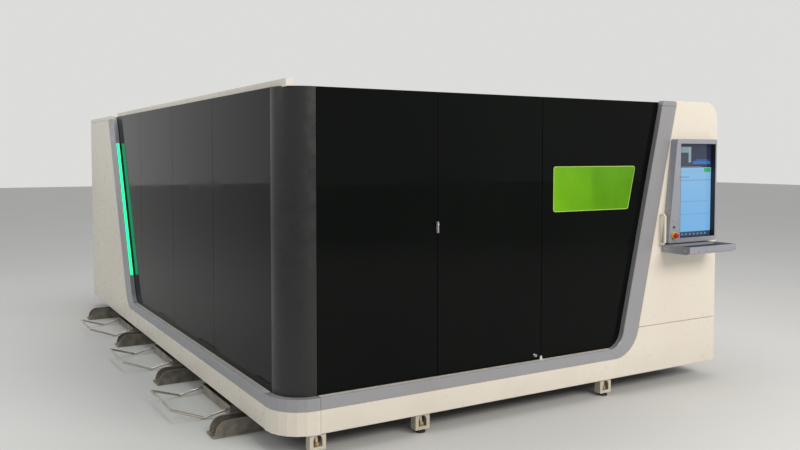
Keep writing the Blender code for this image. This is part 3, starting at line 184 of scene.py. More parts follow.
def product(made, first, second):
    tree = made.node_tree
    times = tree.nodes.new("ShaderNodeMath")
    times.operation = "MULTIPLY"
    tree.links.new(first, times.inputs[0])
    tree.links.new(second, times.inputs[1])
    return times.outputs[0]


def along_axis(made, coordinates, axis):
    split = made.node_tree.nodes.new("ShaderNodeSeparateXYZ")
    made.node_tree.links.new(coordinates, split.inputs[0])
    return split.outputs[axis]


def add_bump(made, shader, factor, distance):
    bump = made.node_tree.nodes.new("ShaderNodeBump")
    bump.inputs["Distance"].default_value = distance
    bump.inputs["Strength"].default_value = 1.0
    made.node_tree.links.new(factor, bump.inputs["Height"])
    made.node_tree.links.new(bump.outputs["Normal"], shader.inputs["Normal"])


def enamel(name, colour, dusty, roughness, grime_top=0.32, metallic=0.0):
    """Powder coat: soft tone drift, floor dust and a fine peel."""
    made, shader, place = begin_material(name, roughness, metallic)
    links = made.node_tree.links
    drift = ramp(made, noise(made, place, 1.1, 4), (0.35, dusty), (0.62, colour))
    low = remap(made, along_axis(made, place, "Z"), 0.08, grime_top, 0.26, 0.0)
    patchy = remap(made, noise(made, place, 4, 6), 0.40, 0.72, 0.1, 1.0)
    dust = product(made, low, patchy)
    links.new(blend_colours(made, dust, drift, FLOOR_GRIME), shader.inputs["Base Color"])
    scuff = remap(made, noise(made, place, 22, 6), 0.35, 0.7, roughness - 0.07, roughness + 0.12)
    links.new(scuff, shader.inputs["Roughness"])
    add_bump(made, shader, noise(made, place, PEEL_SCALE, 2), PEEL_HEIGHT)
    return made


def finish_nodes(material, *names):
    """Give the material to solids of the frame."""
    for name in names:
        nodes[name].data.materials.clear()
        nodes[name].data.materials.append(material)


cream = enamel("cream_powder_coat", CREAM, CREAM_DUSTY, 0.34)
finish_nodes(
    cream,
    "skirt_corner",
    "skirt_front",
    "left_side_panel",
    "right_panel",
    "right_service_door",
    "rear_panel",
    "rear_service_door",
    "tower_door",
    "tower_door_pull",
)

# Grey sills and slanted trims: folded sheet in a grey metallic coat, which carry the
# glazing and end it at each side.
GREY = (0.350, 0.354, 0.385)
GREY_DUSTY = (0.320, 0.318, 0.335)
grey = enamel("grey_metallic_coat", GREY, GREY_DUSTY, 0.36, grime_top=0.34, metallic=0.25)
finish_nodes(grey, "sill_corner", "front_sill_trim", "left_sill_trim")


# Dark glazing: laminated safety panes, almost black from outside and mirror smooth. The
# tint drifts a little, and faint wiping smears change the gloss.
def glazing(name, colour, specular, smear):
    """Dark glass whose roughness rises to the smear's where it was wiped."""
    made, shader, place = begin_material(name, 0.03)
    shader.inputs["Specular IOR Level"].default_value = specular
    links = made.node_tree.links
    tint = ramp(
        made,
        noise(made, place, 0.8, 3),
        (0.3, colour),
        (0.7, tuple(1.5 * part for part in colour)),
    )
    links.new(tint, shader.inputs["Base Color"])
    wiped = noise(made, place, 3.2, 6, (1, 1, 0.35))
    links.new(remap(made, wiped, 0.42, 0.78, 0.025, smear), shader.inputs["Roughness"])
    return made


dark_glass = glazing("dark_laser_glazing", (0.0032, 0.0040, 0.0036), specular=0.06, smear=0.14)
finish_nodes(
    dark_glass,
    "front_fixed_pane",
    "left_pane_1",
    "left_pane_2",
    "left_pane_3",
    "left_pane_4",
)

# Door panes: they reach the same height as the fixed panes, over the front edge of the roof.
# Each is one sheet with ground edges, bonded to the door's tube frame.
PANE_FRONT, PANE_BACK, PANE_TOP, GROUND_EDGE = 0.0453, 0.0553, 2.065, 0.0008


def finished(name, mesh, material, body, bevel=0.0):
    """New piece from a mesh in machine coordinates, riding on a body."""
    mesh.transform(Matrix.Translation(CORNER))
    made = bpy.data.objects.new(name, mesh)
    bpy.context.scene.collection.objects.link(made)
    mesh.materials.clear()
    mesh.materials.append(material)
    mesh.shade_smooth()
    mesh.set_sharp_from_angle(angle=math.radians(35))
    if bevel:
        edge = made.modifiers.new("edges", "BEVEL")
        edge.width = bevel
        edge.segments = 2
        edge.limit_method = "ANGLE"
        edge.angle_limit = math.radians(40)
    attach(made, body)
    return made


def mesh_of(name, shape):
    """Mesh from a closed shape, with its faces turned outwards."""
    bmesh.ops.recalc_face_normals(shape, faces=shape.faces)
    mesh = bpy.data.meshes.new(name)
    shape.to_mesh(mesh)
    shape.free()
    return mesh


def bridge(shape, near, far):
    """Faces between two closed rows of points of the same count."""
    for i in range(len(near)):
        j = (i + 1) % len(near)
        shape.faces.new((near[i], near[j], far[j], far[i]))


def prism_mesh(name, outline, low, high, plane="XZ"):
    """Solid from an outline in a plane, between two levels of the third axis."""
    place = {
        "XY": lambda a, b, level: (a, b, level),
        "XZ": lambda a, b, level: (a, level, b),
        "YZ": lambda a, b, level: (level, a, b),
    }[plane]
    shape = bmesh.new()
    near = [shape.verts.new(place(a, b, low)) for a, b in outline]
    far = [shape.verts.new(place(a, b, high)) for a, b in outline]
    shape.faces.new(near)
    shape.faces.new(far)
    bridge(shape, near, far)
    return mesh_of(name, shape)


for leaf in ("left", "right"):
    low, high = (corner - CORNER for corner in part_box(f"front_door_{leaf}_pane"))
    sheet = prism_mesh(
        f"door_sheet_{leaf}",
        [(low.x, low.z), (high.x, low.z), (high.x, PANE_TOP), (low.x, PANE_TOP)],
        PANE_FRONT,
        PANE_BACK,
    )
    door_sheet = finished(
        f"front_door_{leaf}_sheet", sheet, dark_glass, f"front_door_{leaf}", bevel=GROUND_EDGE
    )
    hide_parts(f"front_door_{leaf}_pane")


# Corner column: one rolled black sheet with a satin coat, slightly lighter than the panes.
# Its two short flats run level with the panes and end just short of them.
COLUMN_BEND, COLUMN_SHEET, COLUMN_END, COLUMN_FOOT = 0.22, 0.008, 0.2397, 0.302


def satin_black(name, colour, roughness, grain=None):
    """Black coat with a soft drift in tone and gloss, and a very fine grain."""
    made, shader, place = begin_material(name, roughness)
    links = made.node_tree.links
    tone = ramp(
        made,
        noise(made, place, 5, 5, grain),
        (0.3, colour),
        (0.75, tuple(1.45 * part for part in colour)),
    )
    links.new(tone, shader.inputs["Base Color"])
    rough = remap(made, noise(made, place, 14, 5), 0.3, 0.7, roughness - 0.06, roughness + 0.1)
    links.new(rough, shader.inputs["Roughness"])
    add_bump(made, shader, noise(made, place, 900, 2), 0.00008)
    return made


def bent_sheet(depth, steps=28):
    """Line of the rolled sheet at a depth from the faces, from the left flat to the front one."""
    radius = COLUMN_BEND - depth
    line = [(depth, COLUMN_END)]
    for step in range(steps + 1):
        angle = math.pi * (1 + 0.5 * step / steps)
        line.append(
            (COLUMN_BEND + radius * math.cos(angle), COLUMN_BEND + radius * math.sin(angle))
        )
    return line + [(COLUMN_END, depth)]


column_black = satin_black("column_satin", (0.0085, 0.0090, 0.0098), 0.27, grain=(1, 1, 0.1))
column_line = bent_sheet(PANE_FRONT) + bent_sheet(PANE_FRONT + COLUMN_SHEET)[::-1]
column = finished(
    "rolled_corner_column",
    prism_mesh("column", column_line, COLUMN_FOOT, PANE_TOP, "XY"),
    column_black,
    "enclosure",
)
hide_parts("corner_column")

# Door frames and inner frame: welded square tube in a black satin coat. The slide of the
# head and the two drive motors have the same coat.
frame_black = satin_black("frame_satin", (0.020, 0.020, 0.020), 0.45)
finish_nodes(
    frame_black,
    "front_door_left_frame",
    "front_door_right_frame",
    "enclosure_frame",
    "z_slide",
    "y_motor_left",
    "y_motor_right",
)

# Viewing window: a green laser-safe acrylic sheet let into the fixed pane, with a paler
# polished edge all round.
WINDOW_CORNERS = [(1.963, 1.303), (2.652, 1.303), (2.7206, 1.608), (1.963, 1.608)]
EDGE_OUTER, EDGE_INNER = {"inset": 0.0008, "radius": 0.0192}, {"inset": 0.0050, "radius": 0.0150}
EDGE_LEVELS = (0.0408, 0.0436)


def window_green():
    """Green that turns deeper from the left to the right, slightly cloudy."""
    made, shader, place = begin_material("green_acrylic", 0.08)
    links = made.node_tree.links
    low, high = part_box("laser_window")
    across = remap(made, along_axis(made, place, "X"), low.x, high.x, 0, 1)
    tint = ramp(
        made,
        across,
        (0.0, (0.165, 0.440, 0.008)),
        (0.42, (0.135, 0.390, 0.006)),
        (0.50, (0.105, 0.320, 0.005)),
        (1.0, (0.100, 0.310, 0.005)),
    )
    cloudy = ramp(made, noise(made, place, 6, 4), (0.3, (0.9, 0.9, 0.9)), (0.7, (1.05, 1.05, 1.05)))
    times = made.node_tree.nodes.new("ShaderNodeMix")
    times.data_type = "RGBA"
    times.blend_type = "MULTIPLY"
    times.inputs["Factor"].default_value = 1.0
    links.new(tint, times.inputs[6])
    links.new(cloudy, times.inputs[7])
    links.new(times.outputs[2], shader.inputs["Base Color"])
    shader.inputs["Specular IOR Level"].default_value = 0.2
    return made


def round_outline(corners, radius, steps=5):
    """Outline with each corner rounded."""
    points = []
    count = len(corners)
    for i in range(count):
        here = Vector(corners[i])
        before = (Vector(corners[i - 1]) - here).normalized()
        after = (Vector(corners[(i + 1) % count]) - here).normalized()
        reach = radius / math.tan(before.angle(after) / 2)
        start, end = here + before * reach, here + after * reach
        for step in range(steps + 1):
            share = step / steps
            points.append(start.lerp(here, share).lerp(here.lerp(end, share), share))
    return points


def ring_mesh(name, outer, inner, low, high):
    """Frame between two outlines of the same count in the XZ plane, from y low to y high."""
    shape = bmesh.new()
    rows = []
    for outline, level in ((outer, low), (inner, low), (inner, high), (outer, high)):
        rows.append([shape.verts.new((x, level, z)) for x, z in outline])
    for row, following in zip(rows, rows[1:] + rows[:1]):
        bridge(shape, row, following)
    return mesh_of(name, shape)


def window_outline(inset, radius):
    """Rounded outline of the window, moved inwards."""
    middle = sum((Vector(corner) for corner in WINDOW_CORNERS), Vector((0, 0)))
    middle /= len(WINDOW_CORNERS)
    moved = [
        (x - math.copysign(inset, x - middle.x), z - math.copysign(inset, z - middle.y))
        for x, z in WINDOW_CORNERS
    ]
    return round_outline(moved, radius)


finish_nodes(window_green(), "laser_window")
window_edge, window_shader, window_place = begin_material("green_acrylic_edge", 0.15)
window_tone = ramp(
    window_edge,
    noise(window_edge, window_place, 30, 3),
    (0.3, (0.42, 0.66, 0.10)),
    (0.7, (0.52, 0.76, 0.16)),
)
window_edge.node_tree.links.new(window_tone, window_shader.inputs["Base Color"])
edge_ring = ring_mesh(
    "laser_window_edge", window_outline(**EDGE_OUTER), window_outline(**EDGE_INNER), *EDGE_LEVELS
)
finished("laser_window_edge", edge_ring, window_edge, "enclosure")

# Roof: one cream sheet let in behind the top of the glazing, where it slopes up to the
# level of the tower and the rear. A folded rail stiffens its left edge.
ROOF_LOW, ROOF_LIP, ROOF_TOP, ROOF_SLOPE = 2.040, 2.061, 2.075, 0.14
ROOF_FRONT, ROOF_BEHIND_TOWER = 0.0562, 0.0253
ROOF_NOTCH, ROOF_RIGHT, ROOF_STEP, ROOF_REAR = 3.0854, 3.4197, 4.36, 5.4747
RAIL_LEFT, RAIL_RIGHT, RAIL_TOP, RAIL_START, RAIL_END = 0.072, 0.115, 2.105, 0.07, 4.45
ROOF_FOLD = 0.0015


def roof_line(slope):
    """Edge of the roof as (x, y, z), moved inwards by the width of its slope."""
    inset = ROOF_FRONT + slope
    glazed = ROOF_LIP if slope == 0 else ROOF_TOP
    right, rear = ROOF_RIGHT - slope, ROOF_REAR - slope
    line = [(*point, glazed) for point in bent_sheet(inset, 14)[1:-1]]
    line += [(ROOF_NOTCH, inset, glazed), (ROOF_NOTCH, ROOF_BEHIND_TOWER + slope, ROOF_TOP)]
    line += [(right, ROOF_BEHIND_TOWER + slope, ROOF_TOP)]
    line += [(right, rear, ROOF_TOP), (slope, rear, ROOF_TOP)]
    return line + [(slope, ROOF_STEP + slope, ROOF_TOP), (inset, ROOF_STEP + slope, glazed)]


def roof_mesh():
    """Closed sheet from its low edge over the slope to the flat top."""
    shape = bmesh.new()
    edge, crown = roof_line(0), roof_line(ROOF_SLOPE)
    rows = [
        [shape.verts.new((x, y, ROOF_LOW)) for x, y, z in edge],
        [shape.verts.new(point) for point in edge],
        [shape.verts.new(point) for point in crown],
    ]
    for lower, upper in zip(rows, rows[1:]):
        bridge(shape, lower, upper)
    shape.faces.new(rows[0])
    shape.faces.new(rows[-1])
    return mesh_of("roof_sheet", shape)


def merge(name, meshes):
    """One mesh from several."""
    shape = bmesh.new()
    for mesh in meshes:
        shape.from_mesh(mesh)
    made = bpy.data.meshes.new(name)
    shape.to_mesh(made)
    shape.free()
    return made


rail_line = [
    (RAIL_LEFT, ROOF_TOP - 0.016),
    (RAIL_RIGHT, ROOF_TOP - 0.001),
    (RAIL_RIGHT, RAIL_TOP),
    (RAIL_LEFT, RAIL_TOP),
]
rail = prism_mesh("roof_rail", rail_line, RAIL_START, RAIL_END)
roof_sheet = finished(
    "roof_sheet", merge("roof_sheet", [roof_mesh(), rail]), cream, "enclosure", bevel=ROOF_FOLD
)
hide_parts("roof")

# Sill track: a pale extruded strip with three ribs on the ledge of the sill, in front of the
# panes. Its pale tone is a painted highlight for the light that falls on the ledge top. It is
# laid in one length along the front and one along the left side.
TRACK_LOW, TRACK_PLATE, TRACK_RIB = 0.3272, 0.3282, 0.3292
TRACK_ENDS = {"front": (0.245, 2.545), "left": (0.245, 3.555)}
TRACK_EDGES, TRACK_RIBS = (0.006, 0.041), ((0.006, 0.010), (0.022, 0.026), (0.037, 0.041))
# Painted highlight: the strip is coloured pale to stand for the light on the top of the ledge.
track_highlight_paint, track_shader, track_place = begin_material("track_painted_highlight", 0.38, 0.15)
track_highlight_tone = ramp(
    track_highlight_paint,
    noise(track_highlight_paint, track_place, 30, 5),
    (0.3, (0.60, 0.58, 0.54)),
    (0.7, (0.72, 0.70, 0.66)),
)
track_highlight_paint.node_tree.links.new(track_highlight_tone, track_shader.inputs["Base Color"])
add_bump(track_highlight_paint, track_shader, noise(track_highlight_paint, track_place, 90, 4), 0.00004)
for side, (start, end) in TRACK_ENDS.items():
    strips = []
    for (near, far), top in [(TRACK_EDGES, TRACK_PLATE)] + [(rib, TRACK_RIB) for rib in TRACK_RIBS]:
        corners = [(start, near), (end, near), (end, far), (start, far)]
        if side == "left":
            corners = [(y, x) for x, y in corners]
        strips.append(prism_mesh("strip", corners, TRACK_LOW, top, "XY"))
    finished(f"{side}_track", merge(f"{side}_track", strips), track_highlight_paint, "enclosure")

# Head of the front trim: the grey sheet runs on past the glazing to the tower's height and
# ends in a rounded corner.
TRIM_TOP_LEFT, TRIM_TOP_RIGHT, TRIM_TOP, TRIM_END = 2.9454, 3.0853, 2.0398, 2.0735
TRIM_RISE = 0.225 * (TRIM_END - TRIM_TOP)
TRIM_ROUND, TRIM_STEPS, TRIM_FACE, TRIM_BACK, TRIM_FOLD = 0.0285, 8, 0.0004, 0.0449, 0.002
head_corners = [
    (TRIM_TOP_LEFT + TRIM_RISE, TRIM_END),
    (TRIM_TOP_LEFT, TRIM_TOP),
    (TRIM_TOP_RIGHT, TRIM_TOP),
    (TRIM_TOP_RIGHT + TRIM_RISE, TRIM_END),
]
rounded_corner = round_outline(head_corners, TRIM_ROUND, TRIM_STEPS)[-(TRIM_STEPS + 1) :]
head_line = [*head_corners[1:3], *(tuple(point) for point in rounded_corner), head_corners[0]]
trim_head = prism_mesh("trim_head", head_line, TRIM_FACE, TRIM_BACK)
finished("front_trim_head", trim_head, grey, "enclosure", bevel=TRIM_FOLD)

# Light bar: a frosted diffuser along the slanted inner edge of the side trim, lit green,
# in a thin aluminium channel.
SIDE_FOOT, SIDE_LEAN, SIDE_WIDTH, SILL_TOP = 3.80, 0.43, 0.22, 0.327
BAR_LOW, BAR_HIGH, BAR_FACE, BAR_DEPTH, BAR_EDGES = 0.57, 1.80, 0.0008, 0.012, (0.009, 0.034)
BAR_GREEN, BAR_CORE, BAR_GLOW, BAR_ROUND = (0.006, 0.62, 0.215), (0.030, 0.96, 0.390), 1.6, 0.002
CHANNEL_FACE, CHANNEL_DEPTH, CHANNEL_PAST_BAR = 0.0003, 0.0100, 0.003
CHANNEL_SIDES = ((0.0070, 0.0088), (0.0342, 0.0360))


def lit(name, colour, strength, core):
    """Diffuser that glows in soft bands, one for each lamp behind it."""
    made, shader, place = begin_material(name, 0.35)
    links = made.node_tree.links
    cells = made.node_tree.nodes.new("ShaderNodeTexWave")
    cells.wave_type = "BANDS"
    cells.bands_direction = "Z"
    cells.inputs["Scale"].default_value = 18
    links.new(place, cells.inputs["Vector"])
    glow = ramp(made, cells.outputs["Fac"], (0.0, colour), (1.0, core))
    links.new(glow, shader.inputs["Base Color"])
    links.new(glow, shader.inputs["Emission Color"])
    shader.inputs["Emission Strength"].default_value = strength
    return made


def metal(name, colour, roughness, grain=None, metallic=1.0):
    """Bare metal with a drawn or ground grain."""
    made, shader, place = begin_material(name, roughness, metallic)
    links = made.node_tree.links
    lines = noise(made, place, 60, 4, grain)
    tone = ramp(made, lines, (0.3, tuple(0.82 * part for part in colour)), (0.7, colour))
    links.new(tone, shader.inputs["Base Color"])
    rough = remap(made, lines, 0.3, 0.7, roughness - 0.08, roughness + 0.12)
    links.new(rough, shader.inputs["Roughness"])
    add_bump(made, shader, lines, 0.00003)
    return made


def return_edge(height):
    """Inner edge of the slanted side trim at a height."""
    return SIDE_FOOT + SIDE_LEAN * (height - SILL_TOP) - SIDE_WIDTH


def bar_line(near, far, low, high):
    """Outline along the slanted return, between two distances from it."""
    return [
        (return_edge(low) - far, low),
        (return_edge(low) - near, low),
        (return_edge(high) - near, high),
        (return_edge(high) - far, high),
    ]


channel_metal = metal("channel_aluminium", (0.55, 0.58, 0.58), 0.35, (1, 1, 0.05))
bar = prism_mesh("bar", bar_line(BAR_FACE, BAR_DEPTH, BAR_LOW, BAR_HIGH), *BAR_EDGES, "YZ")
green_light = lit("green_light", BAR_GREEN, BAR_GLOW, BAR_CORE)
light_bar = finished("light_bar", bar, green_light, "enclosure", bevel=BAR_ROUND)
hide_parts("led_strip")
channel_line = bar_line(
    CHANNEL_FACE, CHANNEL_DEPTH, BAR_LOW - CHANNEL_PAST_BAR, BAR_HIGH + CHANNEL_PAST_BAR
)
channel = [prism_mesh("channel", channel_line, *side, "YZ") for side in CHANNEL_SIDES]
finished("light_channel", merge("light_channel", channel), channel_metal, "enclosure")

# Front leaves: a small grey lock case with a pull lip and a key barrel where they meet. A
# turned grey knob and a pivot post in white enamel stand at the foot of the second seam.
POST_PLACE = (1.868, PANE_FRONT, 0.3275)
KNOB_PLACE = (1.812, 0.0450, 0.362)
KEY_PLACE = (1.0422, 0.0250, 1.262)
POST_PROFILE = [
    (0, 0),
    (0.012, 0),
    (0.012, 0.006),
    (0.009, 0.008),
    (0.009, 0.021),
    (0.006, 0.024),
    (0, 0.024),
]
KNOB_PROFILE = [
    (0, 0),
    (0.010, 0),
    (0.010, 0.003),
    (0.006, 0.005),
    (0.006, 0.010),
    (0.010, 0.013),
    (0.009, 0.019),
    (0, 0.020),
]
KEY_PROFILE = [(0, 0), (0.0042, 0), (0.0042, 0.0010), (0.0030, 0.0016), (0, 0.0016)]


def turned_mesh(name, profile, centre, axis=(0, 0, 1), steps=24):
    """Closed turned piece from (radius, distance) points along an axis."""
    shape = bmesh.new()
    points = [shape.verts.new((radius, 0, along)) for radius, along in profile]
    edges = [shape.edges.new(pair) for pair in zip(points, points[1:])]
    bmesh.ops.spin(
        shape,
        geom=points + edges,
        cent=(0, 0, 0),
        axis=(0, 0, 1),
        angle=math.tau,
        steps=steps,
        use_merge=True,
    )
    bmesh.ops.remove_doubles(shape, verts=shape.verts, dist=1e-5)
    mesh = mesh_of(name, shape)
    turn = Vector(axis).to_track_quat("Z", "Y").to_matrix().to_4x4()
    mesh.transform(Matrix.Translation(Vector(centre)) @ turn)
    return mesh


finish_nodes(grey, "front_door_pull")
white_trim = enamel(
    "white_enamel", (0.80, 0.79, 0.76), (0.72, 0.70, 0.66), 0.28, grime_top=0.1
)
post = turned_mesh("pivot_post", POST_PROFILE, POST_PLACE)
finished("front_door_pivot_post", post, white_trim, "enclosure")
knob = turned_mesh("knob", KNOB_PROFILE, KNOB_PLACE, (0, -1, 0))
finished("front_door_knob", knob, grey, "front_door_right")
key_barrel = turned_mesh("key_barrel", KEY_PROFILE, KEY_PLACE, (0, -1, 0), steps=16)
finished("front_door_lock_barrel", key_barrel, channel_metal, "front_door_left")

# Operator tower: the console is a silver-grey sheet box around a recessed upright screen.
# The walls of the recess are lined with black trim.
RECESS_OUTER = [(3.0732, 1.0832), (3.4498, 1.0832), (3.4498, 1.7668), (3.0732, 1.7668)]
RECESS_INNER = [(3.0762, 1.0862), (3.4468, 1.0862), (3.4468, 1.7638), (3.0762, 1.7638)]
RECESS_FRONT, RECESS_BACK = -0.0595, -0.0206
silver = enamel(
    "silver_coat", (0.400, 0.420, 0.485), (0.340, 0.355, 0.400), 0.34, grime_top=0.1, metallic=0.3
)
finish_nodes(silver, "console_housing", "keyboard_tray")
dark_plastic = satin_black("dark_plastic", (0.012, 0.012, 0.013), 0.42)
recess = ring_mesh("recess", RECESS_OUTER, RECESS_INNER, RECESS_FRONT, RECESS_BACK)
finished("screen_recess_lining", recess, dark_plastic, "tower_front")

# Screen: one lit upright panel, set in the back of the recess. It shows plain blue fields,
# bars and thin lines, with a row of small marks along its foot and no lettering.
SCREEN_GLOW = 0.72
SCREEN_FOOT, SCREEN_HEAD = (0.200, 0.530, 0.950), (0.330, 0.650, 0.960)
SCREEN_PANELS = [
    ((0.0, 1.0, 0.745, 1.0), (0.006, 0.012, 0.050)),
    ((0.03, 0.43, 0.765, 0.975), (0.030, 0.045, 0.060)),
    ((0.06, 0.40, 0.905, 0.965), (0.260, 0.380, 0.430)),
    ((0.34, 0.41, 0.800, 0.965), (0.330, 0.450, 0.500)),
    ((0.46, 0.97, 0.780, 0.815), (0.010, 0.180, 0.560)),
    ((0.55, 0.90, 0.815, 0.835), (0.008, 0.090, 0.330)),
    ((0.04, 0.72, 0.752, 0.757), (0.250, 0.300, 0.380)),
    ((0.79, 0.98, 0.695, 0.738), (0.020, 0.500, 0.120)),
    ((0.0, 0.77, 0.699, 0.701), (0.130, 0.330, 0.620)),
    ((0.02, 0.08, 0.632, 0.655), (0.050, 0.110, 0.260)),
    ((0.12, 0.36, 0.640, 0.647), (0.080, 0.180, 0.380)),
    ((0.0, 1.0, 0.606, 0.611), (0.110, 0.240, 0.460)),
    ((0.14, 0.94, 0.378, 0.382), (0.120, 0.300, 0.580)),
    ((0.0, 0.96, 0.240, 0.244), (0.120, 0.300, 0.580)),
    ((0.0, 1.0, 0.0, 0.055), (0.012, 0.030, 0.085)),
]
SCREEN_MARKS = [
    ((0.06 + 0.11 * i, 0.10 + 0.11 * i, 0.020, 0.036), (0.220, 0.320, 0.420)) for i in range(8)
]


def screen_material():
    """Lit screen from panels given as (left, right, low, high) shares of its face."""
    made, shader, place = begin_material("lit_screen", 0.12)
    tree = made.node_tree
    links = tree.links
    low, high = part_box("display_screen")
    across = remap(made, along_axis(made, place, "X"), low.x, high.x, 0, 1)
    up = remap(made, along_axis(made, place, "Z"), low.z, high.z, 0, 1)

    def inside(value, start, end):
        limits = []
        for operation, limit in (("GREATER_THAN", start), ("LESS_THAN", end)):
            test = tree.nodes.new("ShaderNodeMath")
            test.operation = operation
            test.inputs[1].default_value = limit
            links.new(value, test.inputs[0])
            limits.append(test.outputs[0])
        return product(made, *limits)

    colour = ramp(made, up, (0.0, SCREEN_FOOT), (1.0, SCREEN_HEAD))
    for (left, right, foot, head), tone in SCREEN_PANELS + SCREEN_MARKS:
        covered = product(made, inside(across, left, right), inside(up, foot, head))
        colour = blend_colours(made, covered, colour, tone)
    links.new(colour, shader.inputs["Emission Color"])
    shader.inputs["Emission Strength"].default_value = SCREEN_GLOW
    dim = blend_colours(made, up, (0.03, 0.05, 0.08), (0.02, 0.02, 0.03))
    links.new(dim, shader.inputs["Base Color"])
    return made


finish_nodes(screen_material(), "display_screen")


# Emergency stop: a red mushroom button of moulded plastic on a yellow collar. A small black
# start button sits above it.
def plastic(name, colour, roughness=0.3):
    """Moulded plastic with a faint mottle and a fine grain."""
    made, shader, place = begin_material(name, roughness)
    links = made.node_tree.links
    tone = ramp(
        made,
        noise(made, place, 40, 4),
        (0.3, tuple(0.88 * part for part in colour)),
        (0.7, colour),
    )
    links.new(tone, shader.inputs["Base Color"])
    rough = remap(made, noise(made, place, 90, 3), 0.3, 0.7, roughness - 0.05, roughness + 0.08)
    links.new(rough, shader.inputs["Roughness"])
    add_bump(made, shader, noise(made, place, 1500, 2), 0.00002)
    return made


finish_nodes(plastic("stop_red", (0.56, 0.012, 0.010)), "estop_button")
finish_nodes(plastic("stop_yellow", (0.76, 0.50, 0.05), 0.4), "estop_collar")
finish_nodes(dark_plastic, "console_button")

# Keyboard shelf: folded sheet in the silver coat. A rubber mat lies in the tray, and two
# screws hold each of its wedge ends.
MAT_CORNERS = [(2.962, -0.243), (3.430, -0.243), (3.430, -0.072), (2.962, -0.072)]
MAT_ROUND, MAT_LOW, MAT_TOP = 0.008, 1.0222, 1.0242
SHELF_SCREW_SIDES = {-1: 2.9498, 1: 3.4422}
SHELF_SCREW_ROWS, SHELF_SCREW_HEIGHT = (-0.215, -0.040), 1.012
SHELF_SCREW_PROFILE = [
    (0, 0),
    (0.0060, 0),
    (0.0060, 0.0006),
    (0.0048, 0.0018),
    (0.0020, 0.0022),
    (0, 0.0012),
]
rubber = satin_black("rubber", (0.014, 0.014, 0.014), 0.7)
mat = prism_mesh("mat", round_outline(MAT_CORNERS, MAT_ROUND), MAT_LOW, MAT_TOP, "XY")
finished("keyboard_shelf_mat", mat, rubber, "tower_front")
bright_steel = metal("bright_steel", (0.62, 0.62, 0.61), 0.28)
shelf_screws = [
    turned_mesh("screw", SHELF_SCREW_PROFILE, (x, y, SHELF_SCREW_HEIGHT), (side, 0, 0), steps=12)
    for side, x in SHELF_SCREW_SIDES.items()
    for y in SHELF_SCREW_ROWS
]
finished("keyboard_shelf_screws", merge("shelf_screws", shelf_screws), bright_steel, "tower_front")

# Levelling feet: folded brackets in a cream coat painted darker than the skins' as painted shade
# under the machine, which carry threaded bolts. Their nuts are yellow zinc plated steel, and their
# pads are black rubber.
FOOT_INSET = 0.0528
FOOT_PLACES = [(x, FOOT_INSET) for x in (0.235, 0.930, 2.440)]
FOOT_PLACES += [(3.54 - FOOT_INSET, y) for y in (0.600, 4.950)]
FOOT_PLACES += [(0.400, 5.50 - FOOT_INSET)]
NUT_HEIGHT = 0.049
NUT_SIZES = {"Head Radius": 0.0205, "Head Height": 0.0165, "Washer Radius": 0.0225}
PAD_PROFILE = [
    (0, 0.0008),
    (0.0305, 0.0008),
    (0.0318, 0.004),
    (0.0300, 0.0112),
    (0.0102, 0.0135),
    (0, 0.0135),
]
UPRIGHT, FACING_REAR, FACING_RIGHT = (0, 0, 0), (-math.pi / 2, 0, 0), (0, math.pi / 2, 0)


def fastener_tree():
    """Node tree that puts a screw head on a washer at every point of a mesh."""
    tree = bpy.data.node_groups.new("fasteners", "GeometryNodeTree")
    face = tree.interface
    face.new_socket("Geometry", in_out="INPUT", socket_type="NodeSocketGeometry")
    for name, value in (("Head Radius", 0.008), ("Head Height", 0.006), ("Washer Radius", 0.013)):
        socket = face.new_socket(name, in_out="INPUT", socket_type="NodeSocketFloat")
        socket.default_value = value
    face.new_socket("Sides", in_out="INPUT", socket_type="NodeSocketInt").default_value = 6
    face.new_socket("Turn", in_out="INPUT", socket_type="NodeSocketVector")
    face.new_socket("Finish", in_out="INPUT", socket_type="NodeSocketMaterial")
    face.new_socket("Geometry", in_out="OUTPUT", socket_type="NodeSocketGeometry")
    new, link = tree.nodes.new, tree.links.new
    given, result = new("NodeGroupInput"), new("NodeGroupOutput")
    head, washer = new("GeometryNodeMeshCone"), new("GeometryNodeMeshCylinder")
    slim, lower = new("ShaderNodeMath"), new("ShaderNodeMath")
    slim.operation = lower.operation = "MULTIPLY"
    slim.inputs[1].default_value = 0.86
    lower.inputs[1].default_value = 0.3
    link(given.outputs["Head Radius"], slim.inputs[0])
    link(given.outputs["Head Height"], lower.inputs[0])
    link(given.outputs["Sides"], head.inputs["Vertices"])
    link(given.outputs["Head Radius"], head.inputs["Radius Bottom"])
    link(slim.outputs[0], head.inputs["Radius Top"])
    link(given.outputs["Head Height"], head.inputs["Depth"])
    washer.inputs["Vertices"].default_value = 16
    link(given.outputs["Washer Radius"], washer.inputs["Radius"])
    link(lower.outputs[0], washer.inputs["Depth"])
    both = new("GeometryNodeJoinGeometry")
    link(head.outputs["Mesh"], both.inputs[0])
    link(washer.outputs["Mesh"], both.inputs[0])
    rows = new("GeometryNodeInstanceOnPoints")
    turn = new("FunctionNodeEulerToRotation")
    link(given.outputs["Turn"], turn.inputs[0])
    link(given.outputs["Geometry"], rows.inputs["Points"])
    link(both.outputs[0], rows.inputs["Instance"])
    link(turn.outputs[0], rows.inputs["Rotation"])
    real, paint = new("GeometryNodeRealizeInstances"), new("GeometryNodeSetMaterial")
    link(rows.outputs[0], real.inputs[0])
    link(real.outputs[0], paint.inputs["Geometry"])
    link(given.outputs["Finish"], paint.inputs["Material"])
    link(paint.outputs[0], result.inputs[0])
    return tree


FASTENERS = fastener_tree()


